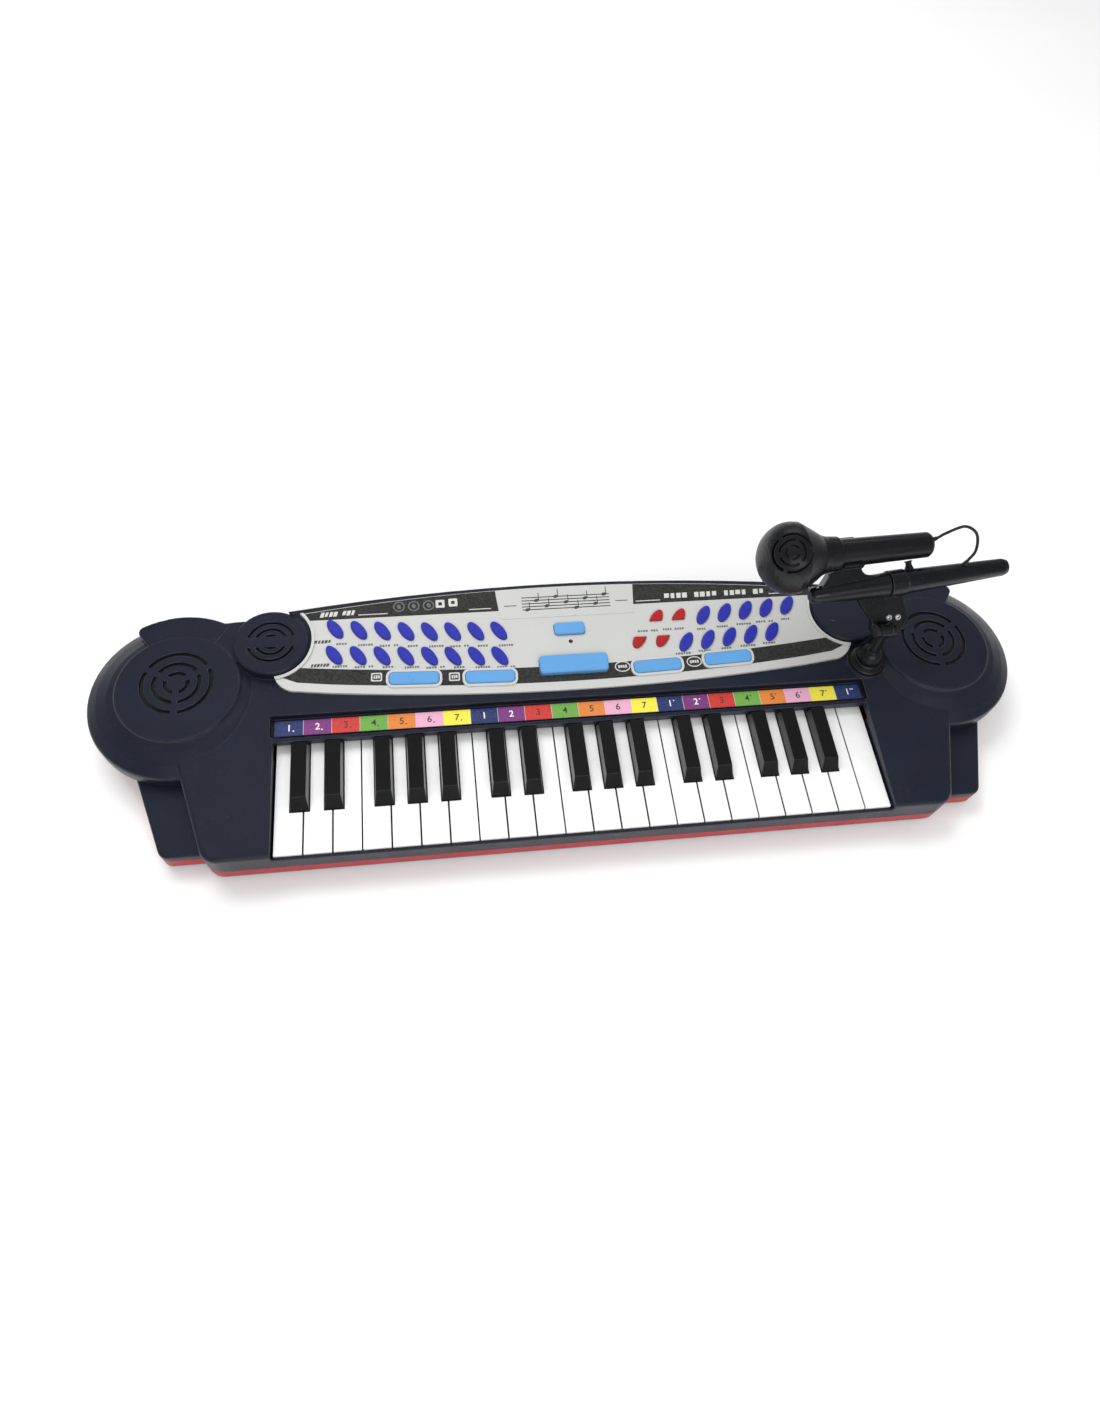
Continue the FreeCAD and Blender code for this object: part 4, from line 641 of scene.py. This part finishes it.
def tab_staff():
    """Five thin lines with notes on stems and a dash at each side: a generic ornament."""
    def lines(shape):
        base = panel_matrix(0, 0)
        for row in range(-2, 3):
            ky = STAFF_CENTRE[1] + row * STAFF_GAP_KY
            low, high = ky - STAFF_LINE_HALF, ky + STAFF_LINE_HALF
            points = [(-STAFF_HALF, low), (STAFF_HALF, low), (STAFF_HALF, high), (-STAFF_HALF, high)]
            slab(shape, panel_loop(points), base, TAB_T - 0.02 * MM, TAB_T + INK_TOP)
        for number in range(NOTE_COUNT):
            kx = (number - NOTE_COUNT // 2) * NOTE_STEP
            ky = STAFF_CENTRE[1] + (number * 3 % 5 - 2) * STAFF_GAP_KY
            slab(shape, key_ellipse(0.1, 0.065, 18), panel_matrix(kx, ky, 18),
                 TAB_T - 0.01 * MM, TAB_T + INK_OVER)
            slab(shape, key_box(0.03, 0.34, 0.01, 1), panel_matrix(kx + 0.09, ky + 0.16),
                 TAB_T, TAB_T + INK_OVER)
        for side in (-1, 1):
            slab(shape, key_box(0.48, LINE_W, 0.01, 1),
                 panel_matrix(side * DASH_CENTRE[0], DASH_CENTRE[1]), TAB_T - 0.02 * MM, TAB_T + INK_TOP)

    piece("panel_tab_staff", lines, [DARK_INK], "case")


def label(shape, kx, ky, width, height, over=0.0, slant=0.0, unit=0.1, turn=0.0):
    """Row of short blocks as wide as a word, with no lettering in it; sizes in key widths."""
    count = max(2, round(width / unit))
    cell = width / count
    for number in range(count):
        if number % 5 == 4 and count > 6:
            continue
        share = 0.62 + 0.2 * ((number * 7 + count) % 3) / 2
        low = height * (0.12 if (number * 5 + count) % 4 == 1 else 0.0)
        half = cell * share / 2 * PITCH
        middle = (-width / 2 + cell * (number + 0.5)) * PITCH
        lean = slant * height * PITCH
        y0 = (-height / 2 + low) * PITCH
        y1 = height / 2 * PITCH
        loop = [(middle - half, y0), (middle + half, y0), (middle + half + lean, y1),
                (middle - half + lean, y1)]
        slab(shape, loop, panel_matrix(kx, ky, turn), INK_LOW + over, INK_TOP + over)


LEFT_TOP_ROW = [(-8.79 + 0.87 * i, 8.384 - 0.0963 * i + 0.005 * i * i) for i in range(8)]
LEFT_LOW_ROW = [(-8.845 + 0.871 * i, 7.322 - 0.0707 * i + 0.0017 * i * i) for i in range(8)]
RIGHT_TOP_ROW = [(5.327 + 0.86 * i, 8.149 + 0.057 * i) for i in range(5)]
RIGHT_LOW_ROW = [(4.463 + 0.868 * i, 7.04 + 0.057 * i) for i in range(5)]

# Prints of the panel, in key widths: (kx, ky) of the middle, then the width or the turn in degrees.
RED_LABELS = [(3.04, 7.615, 0.82), (4.04, 7.635, 0.86)]
ROW_LABELS = [(-9.27, 7.9, 0.62), (-9.38, 6.95, 0.68)]
BAND_LINES = [(-7.38, 8.94, 1.1), (-3.34, 8.93, 0.85), (3.23, 8.92, 0.98), (8.54, 8.95, 0.8)]
BAND_SQUARES = [(-4.84, 9.24), (-4.35, 9.27)]
BAND_RINGS = [(-6.4, 9.2), (-5.84, 9.2), (-5.28, 9.2)]
LEFT_ICONS = [(-7.33, 6.35, -2.4), (-4.49, 6.18, -1.6)]
RIGHT_ICONS = [(1.85, 6.185, 1.0), (4.64, 6.21, 2.0)]
LABEL_H = 0.085
ROW_LABEL_H = 0.13
ON_BAND = 0.04 * MM


def button_labels():
    """Small grey labels under the oval buttons and beside the red ones."""
    def words(shape):
        for number, (kx, ky) in enumerate(LEFT_TOP_ROW):
            label(shape, kx + 0.22, ky - 0.61, 0.4 + 0.16 * (number % 3), LABEL_H)
        for number, (kx, ky) in enumerate(LEFT_LOW_ROW):
            label(shape, kx + 0.2, ky - 0.46, 0.42 + 0.14 * ((number + 1) % 3), LABEL_H)
        for number, (kx, ky) in enumerate(RIGHT_TOP_ROW):
            label(shape, kx - 0.18, ky - 0.58, 0.36 + 0.12 * (number % 4), LABEL_H)
        for number, (kx, ky) in enumerate(RIGHT_LOW_ROW):
            label(shape, kx - 0.2, ky - 0.46, 0.62 - 0.1 * (number % 3), LABEL_H)
        for kx, ky, width in RED_LABELS:
            label(shape, kx, ky, width, LABEL_H)

    piece("panel_button_labels", words, [GREY_INK], "case")


def row_labels():
    """Bolder labels at the left of each row."""
    def words(shape):
        for kx, ky, width in ROW_LABELS:
            label(shape, kx, ky, width, ROW_LABEL_H, slant=0.3, unit=0.12)

    piece("panel_row_labels", words, [DARK_INK], "case")


def band_prints():
    """Pale headings, lines and symbols on the dark bands."""
    def marks(shape):
        low, high = INK_LOW + ON_BAND, INK_TOP + ON_BAND
        label(shape, -8.72, 9.03, 1.3, 0.2, ON_BAND, slant=0.35, unit=0.16, turn=2)
        label(shape, 5.92, 9.08, 4.1, 0.22, ON_BAND, slant=0.1, unit=0.235)
        for kx, ky, width in BAND_LINES:
            slab(shape, key_box(width, LINE_W, 0.01, 1), panel_matrix(kx, ky), low, high)
        for kx, ky in BAND_SQUARES:
            ring_slab(shape, key_box(0.34, 0.34, 0.04), key_box(0.136, 0.136, 0.02),
                      panel_matrix(kx, ky), low, high)
        for kx, ky, turn in LEFT_ICONS:
            ring_slab(shape, key_box(0.4, 0.34, 0.05), key_box(0.3, 0.24, 0.03),
                      panel_matrix(kx, ky, turn), low, high)
            label(shape, kx, ky, 0.24, 0.14, ON_BAND, unit=0.08, turn=turn)
        for kx, ky, turn in RIGHT_ICONS:
            ring_slab(shape, key_ellipse(0.3, 0.22), key_ellipse(0.26, 0.18),
                      panel_matrix(kx, ky, turn), low, high)
            label(shape, kx, ky, 0.36, 0.12, ON_BAND, unit=0.09, turn=turn)

    piece("panel_band_prints", marks, [LIGHT_INK], "case")


def band_rings():
    """Three grey ring symbols on the left band."""
    def marks(shape):
        low, high = INK_LOW + ON_BAND, INK_TOP + ON_BAND
        for kx, ky in BAND_RINGS:
            ring_slab(shape, key_ellipse(0.22, 0.22), key_ellipse(0.17, 0.17), panel_matrix(kx, ky),
                      low, high)
            slab(shape, key_ellipse(0.07, 0.1, 16), panel_matrix(kx, ky, 20), low, high)

    piece("panel_band_rings", marks, [GREY_INK], "case")


LAMP_CENTRE = (0.0, 7.36)
LAMP_R = 1.35 * MM
LAMP_SUNK = 1.5 * MM


def power_lamp():
    """Small domed lens in the panel."""
    def lens(shape):
        dome(shape, panel_matrix(*LAMP_CENTRE), LAMP_R, LAMP_R * 0.7, LAMP_SUNK, 75.0, 20)

    piece("power_lamp", lens, [lamp_lens("lamp_lens")], "case")


# ---- note strip ----

CELL_GAP = 0.35 * MM
CELL_MARGIN = 0.25 * MM
DIGIT_SIZE = 7.6 * MM
DIGIT_T = 0.06 * MM
DOT_R = 0.6 * MM
# Dots beside the digit in millimetres, for each octave from the left.
OCTAVE_DOTS = [[(3.2, -2.4)], [], [(3.2, 2.4)], [(3.0, 2.4), (4.6, 2.4)]]


def strip_cells():
    """Coloured cell for each white key."""
    def cells(shape):
        depth = STRIP_HIGH.y - STRIP_LOW.y - 2 * CELL_MARGIN
        middle_y = (STRIP_LOW.y + STRIP_HIGH.y) / 2
        for number in range(WHITE_COUNT):
            x = (number - (WHITE_COUNT - 1) / 2) * PITCH
            matrix = Matrix.Translation(Vector((x, middle_y, STRIP_HIGH.z)))
            slab(shape, rounded_box(PITCH - CELL_GAP, depth, 0.15 * MM, 1), matrix, INK_LOW, INK_TOP,
                 number % len(CELL_INKS))
            if number:
                edge = Matrix.Translation(Vector((x - PITCH / 2, middle_y, STRIP_HIGH.z)))
                slab(shape, rounded_box(CELL_GAP * 0.9, depth, 0.05 * MM, 1), edge, INK_LOW, INK_TOP,
                     len(CELL_INKS))

    piece("strip_cells", cells, CELL_INKS + [LIGHT_INK], "case")


def text_shape(shape, text, matrix, size, thickness, material):
    """Adds flat characters, centred on the matrix's origin, to a bmesh."""
    curve = bpy.data.curves.new("digit_outline", "FONT")
    curve.body = text
    curve.size = size
    curve.align_x = "CENTER"
    curve.align_y = "CENTER"
    curve.extrude = thickness / 2
    curve.offset = size * 0.012
    curve.resolution_u = 4
    carrier = bpy.data.objects.new("digit_outline", curve)
    bpy.context.scene.collection.objects.link(carrier)
    graph = bpy.context.evaluated_depsgraph_get()
    mesh = bpy.data.meshes.new_from_object(carrier.evaluated_get(graph))
    mesh.transform(matrix)
    known = len(shape.faces)
    shape.from_mesh(mesh)
    shape.faces.ensure_lookup_table()
    for face in shape.faces[known:]:
        face.material_index = material
    bpy.data.objects.remove(carrier)
    bpy.data.curves.remove(curve)
    bpy.data.meshes.remove(mesh)


def strip_digits():
    """Scale numbers 1 to 7; a low dot marks the first octave and high dots the third and fourth."""
    def digits(shape):
        middle_y = (STRIP_LOW.y + STRIP_HIGH.y) / 2
        for number in range(WHITE_COUNT):
            octave, step = divmod(number, 7)
            ink = 0 if step in (0, 1) else 1
            x = (number - (WHITE_COUNT - 1) / 2) * PITCH
            spot = Vector((x, middle_y, STRIP_HIGH.z + INK_TOP))
            text_shape(shape, str(step + 1), Matrix.Translation(spot), DIGIT_SIZE, DIGIT_T, ink)
            for dx, dy in OCTAVE_DOTS[octave]:
                dot = Matrix.Translation(spot + Vector((dx * MM, dy * MM, 0)))
                slab(shape, ellipse(DOT_R, DOT_R, 12), dot, INK_LOW, DIGIT_T / 2, ink)

    piece("strip_digits", digits, [WHITE_DIGIT, DARK_DIGIT], "case")


# ---- speaker cloth ----

CLOTH_T = 0.25 * MM
HEM_T = 0.1 * MM
HEM_WIDTH = 2.0 * MM
DRIVER_CLOTH_R = 28.0 * MM
SIDE_CLOTH_R = 20.0 * MM
ROOF_T = 2.5 * MM
SIDE_DISC = (11.12, 8.0, 50.4 * MM)
DIMPLE = (10.46, 7.55)
DIMPLE_R = 1.3 * MM


def cloth_disc(name, centre, radius):
    """Thin round cloth glued under a grille, with a slightly thicker hem."""
    def cloth(shape):
        spot = Matrix.Translation(centre)
        outer = ellipse(radius, radius, 48)
        inner = ellipse(radius - HEM_WIDTH, radius - HEM_WIDTH, 48)
        slab(shape, outer, spot, -CLOTH_T, 0.0)
        ring_slab(shape, outer, inner, spot, -CLOTH_T - HEM_T, -CLOTH_T)

    piece(name, cloth, [CLOTH], "case")


def dust_cloths():
    low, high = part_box("speaker_drivers")
    driver_r = (high.y - low.y) / 2
    middle_y = (high.y + low.y) / 2
    for side, name in ((-1, "left"), (1, "right")):
        x = side * (high.x - driver_r)
        cloth_disc("dust_cloth_" + name, Vector((x, middle_y, high.z + 0.3 * MM)), DRIVER_CLOTH_R)
    kx, ky, top = SIDE_DISC
    under_roof = Vector((-kx * PITCH, plan_y(ky), top - ROOF_T - 0.05 * MM))
    cloth_disc("dust_cloth_side", under_roof, SIDE_CLOTH_R)


def side_disc_ring():
    """Low ring round a dimple on the right side disc, whose floor is a dark disc of painted shade."""
    spot = Matrix.Translation(Vector((DIMPLE[0] * PITCH, plan_y(DIMPLE[1]), SIDE_DISC[2])))

    def ring(shape):
        inner = ellipse(DIMPLE_R, DIMPLE_R, 20)
        outer = ellipse(DIMPLE_R + 0.6 * MM, DIMPLE_R + 0.6 * MM, 20)
        ring_slab(shape, outer, inner, spot, -0.2 * MM, 0.35 * MM)
        # Painted shade: a dark disc stands for the shadowed inside of the dimple.
        slab(shape, inner, spot, -0.2 * MM, 0.05 * MM, 1)

    piece("side_disc_ring", ring, [CASING, RECESS_SHADE], "case")


# ---- microphone stand: screws and lead ----

JOINTS = {joint["name"]: joint for joint in frame["joints"]}
ELBOW = Vector(JOINTS["elbow_tilt"]["pos_m"])
BOOM = Vector(JOINTS["boom_roll"]["pos_m"])
BOOM_AXIS = Vector(JOINTS["boom_roll"]["axis"])


SCREW_SUNK = 0.3 * MM


def frame_from(origin, along_x, up):
    """Matrix with X along one direction and Z as near as possible to another."""
    x = along_x.normalized()
    y = up.cross(x).normalized()
    z = x.cross(y)
    return Matrix.Translation(origin) @ Matrix((x, y, z)).transposed().to_4x4()


def screw_head(shape, matrix, radius, turn):
    """Domed screw head with a dark cross laid over its flat top, painted shade for the cross slot."""
    dome(shape, matrix, radius, radius * 0.5, SCREW_SUNK, 77.4, 24)
    for quarter in (0, 90):
        spin = matrix @ Matrix.Rotation(math.radians(turn + quarter), 4, "Z")
        slab(shape, rounded_box(radius * 1.1, radius * 0.22, radius * 0.08, 2), spin,
             radius * 0.42, radius * 0.515, 1)


# Bracket screws are at (X, turn of the cross); the cradle screw is on the boom's skin.
PLATE_FRONT = -5.8 * MM
SCREW_UP_PLATE = 8.4 * MM
BRACKET_SCREWS = [(4.9 * MM, 20), (12.0 * MM, 65)]
BRACKET_SCREW_R = 2.4 * MM
CRADLE_SCREW_X = -61.5 * MM
CRADLE_SCREW_LEAN_DEG = -33
CRADLE_SCREW_R = 1.7 * MM
BOOM_SKIN_R = 6.1 * MM


def stand_screws():
    """Two bright screws side by side on the bracket, and one on the cradle's foot."""
    lean = Vector((0, BOOM.y - ELBOW.y, BOOM.z - ELBOW.z)).normalized()
    out = Vector((1, 0, 0)).cross(lean)
    place = frame_from(ELBOW, Vector((1, 0, 0)), out)

    def pair(shape):
        for x, turn in BRACKET_SCREWS:
            spot = Matrix.Translation((x, SCREW_UP_PLATE, PLATE_FRONT))
            screw_head(shape, place @ spot, BRACKET_SCREW_R, turn)

    def single(shape):
        boom = frame_from(BOOM, BOOM_AXIS, Vector((0, 0, 1)))
        tilt = Matrix.Rotation(math.radians(CRADLE_SCREW_LEAN_DEG), 4, "X")
        spot = Matrix.Translation((CRADLE_SCREW_X, 0, BOOM_SKIN_R))
        screw_head(shape, boom @ tilt @ spot, CRADLE_SCREW_R, 40)

    piece("bracket_screws", pair, [STEEL, RECESS_SHADE], "bracket")
    piece("cradle_screw", single, [STEEL, RECESS_SHADE], "boom")


# The lead starts inside the microphone's tail and ends inside the boom's skin; its bends are
# steps in millimetres from its start, and its landing steps are from its end.
LEAD_R = 1.1 * MM
MIC_YAW = math.radians(3.6)
MIC_FROM_BOOM = Vector((0, 21.7, 14.4)) * MM
LEAD_START = Vector((28.0, 0, 4.6)) * MM
LEAD_END = Vector((54.0, 2.5, 6.8)) * MM
LEAD_BENDS = [(4, 0, 3.0), (8, 0, 7.5), (18, -1, 15.5), (27, -3.3, 12.5), (31.5, -6.3, 6)]
LEAD_LANDING = [(5, 4, 10), (1.4, 1.2, 4.2), (0, 0, 0)]
LEAD_STEPS = 14
GROMMET_EXTRA_R = 1.0 * MM
RIDGE_EXTRA_R = 0.25 * MM


def smooth_path(points, steps):
    """Catmull-Rom curve through points."""
    padded = [points[0] * 2 - points[1]] + points + [points[-1] * 2 - points[-2]]
    path = []
    for a, b, c, d in zip(padded, padded[1:], padded[2:], padded[3:]):
        for i in range(steps):
            t = i / steps
            path.append(0.5 * (2 * b + (c - a) * t + (2 * a - 5 * b + 4 * c - d) * t * t
                               + (3 * b - a - 3 * c + d) * t ** 3))
    return path + [points[-1]]


def swept(shape, path, radii, around=16):
    """Round closed tube along a path, with its own radius at each point."""
    loops = []
    side = Vector((0, 1, 0))
    for i, point in enumerate(path):
        ahead = (path[min(i + 1, len(path) - 1)] - path[max(i - 1, 0)]).normalized()
        side = (side - ahead * side.dot(ahead)).normalized()
        other = ahead.cross(side)
        loops.append([shape.verts.new(point + side * x + other * y)
                      for x, y in ellipse(radii[i], radii[i], around)])
    skin(shape, loops)


def microphone_lead():
    """Lead from the microphone's tail to the boom, thicker in the grommet at each end."""
    mic = Matrix.Translation(BOOM + MIC_FROM_BOOM) @ Matrix.Rotation(MIC_YAW, 4, "Z")
    boom = frame_from(BOOM, BOOM_AXIS, Vector((0, 0, 1)))
    start = mic @ LEAD_START
    end = boom @ LEAD_END
    points = [start] + [start + Vector(bend) * MM for bend in LEAD_BENDS]
    points += [end + Vector(step) * MM for step in LEAD_LANDING]
    path = smooth_path(points, LEAD_STEPS)
    radii = []
    for i in range(len(path)):
        near = min(i, len(path) - 1 - i)
        ridge = RIDGE_EXTRA_R if near % 4 > 1 and near < LEAD_STEPS else 0.0
        grommet = max(0.0, 1.0 - near / LEAD_STEPS) * GROMMET_EXTRA_R
        radii.append(LEAD_R + grommet + ridge)
    made = piece("microphone_lead", lambda shape: swept(shape, path, radii), [CABLE], None)
    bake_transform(made)
    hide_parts("mic_cable")


# ---- stage, light and camera ----

FLOOR_HALF = 4.0
FLOOR_DROP = 0.2 * MM


def floor():
    mesh = bpy.data.meshes.new("floor")
    half = FLOOR_HALF
    mesh.from_pydata([(-half, -half, 0), (half, -half, 0), (half, half, 0), (-half, half, 0)], [],
                     [(0, 1, 2, 3)])
    made = bpy.data.objects.new("floor", mesh)
    made.location.z = -FLOOR_DROP
    mesh.materials.append(pale_floor("floor_paint"))
    bpy.context.scene.collection.objects.link(made)


WORLD_LIGHT = 0.74
WORLD_GLOSS = 0.16

# Name, place, aim, size in metres, watts, and whether the lamp is only there to be reflected.
LAMPS = [
    ("key_light", (-0.5, 0.9, 1.5), (0, 0, 0), (1.2, 0.8), 17.0, False),
    ("fill_light", (0.3, -1.5, 1.3), (0, 0, 0), (1.6, 0.9), 11.0, False),
    ("front_light", (0.1, -1.35, 1.1), (0, 0, 0.03), (1.6, 0.5), 7.0, True),
    ("overhead_light", (-0.2, 0.12, 1.5), (-0.2, 0, 0), (1.8, 0.4), 1.1, True),
    ("sheen_light", (0.4, 1.7, 1.4), (0, 0, 0.03), (1.6, 0.25), 4.0, True),
]


def soft_box(name, spot, aim, size, power, shows):
    """Rectangular lamp: one that shows gives reflections only, any other gives none."""
    lamp = bpy.data.lights.new(name, "AREA")
    lamp.shape = "RECTANGLE"
    lamp.size, lamp.size_y = size
    lamp.energy = power
    made = bpy.data.objects.new(name, lamp)
    made.location = spot
    made.visible_glossy = shows
    made.visible_diffuse = not shows
    made.rotation_euler = (Vector(aim) - Vector(spot)).to_track_quat("-Z", "Y").to_euler()
    bpy.context.scene.collection.objects.link(made)


def studio():
    """White surroundings that light everything evenly but show only faintly in glossy plastic."""
    world = bpy.data.worlds.new("studio")
    bpy.context.scene.world = world
    world.use_nodes = True
    tree = world.node_tree
    background = tree.nodes["Background"]
    background.inputs["Color"].default_value = (1, 1, 1, 1)
    path = tree.nodes.new("ShaderNodeLightPath")
    strength = tree.nodes.new("ShaderNodeMapRange")
    strength.inputs["To Min"].default_value = WORLD_LIGHT
    strength.inputs["To Max"].default_value = WORLD_GLOSS
    tree.links.new(path.outputs["Is Glossy Ray"], strength.inputs["Value"])
    tree.links.new(strength.outputs["Result"], background.inputs["Strength"])
    for lamp in LAMPS:
        soft_box(*lamp)
    bpy.context.scene.view_settings.view_transform = "Standard"


AIM = Vector((-0.0223, -0.0008, 0.04))
CAMERA_TURN_DEG = 13.52
CAMERA_ELEVATION_DEG = 60.41
CAMERA_ROLL_DEG = 8.055
CAMERA_DISTANCE = 0.6746
CAMERA_LENS = 22.627
SENSOR = 36.0


def camera():
    data = bpy.data.cameras.new("camera")
    data.lens = CAMERA_LENS
    data.sensor_width = SENSOR
    made = bpy.data.objects.new("camera", data)
    turn = math.radians(CAMERA_TURN_DEG)
    rise = math.radians(CAMERA_ELEVATION_DEG)
    forward = Vector((math.sin(turn) * math.cos(rise), math.cos(turn) * math.cos(rise), -math.sin(rise)))
    made.location = AIM - forward * CAMERA_DISTANCE
    aim = forward.to_track_quat("-Z", "Y")
    roll = Matrix.Rotation(math.radians(CAMERA_ROLL_DEG), 4, "Z").to_quaternion()
    made.rotation_mode = "QUATERNION"
    made.rotation_quaternion = aim @ roll
    bpy.context.scene.collection.objects.link(made)
    bpy.context.scene.camera = made


dark_bands()
centre_tab()
tab_staff()
button_labels()
row_labels()
band_prints()
band_rings()
power_lamp()
strip_cells()
strip_digits()
dust_cloths()
side_disc_ring()
stand_screws()
microphone_lead()
floor()
studio()
camera()
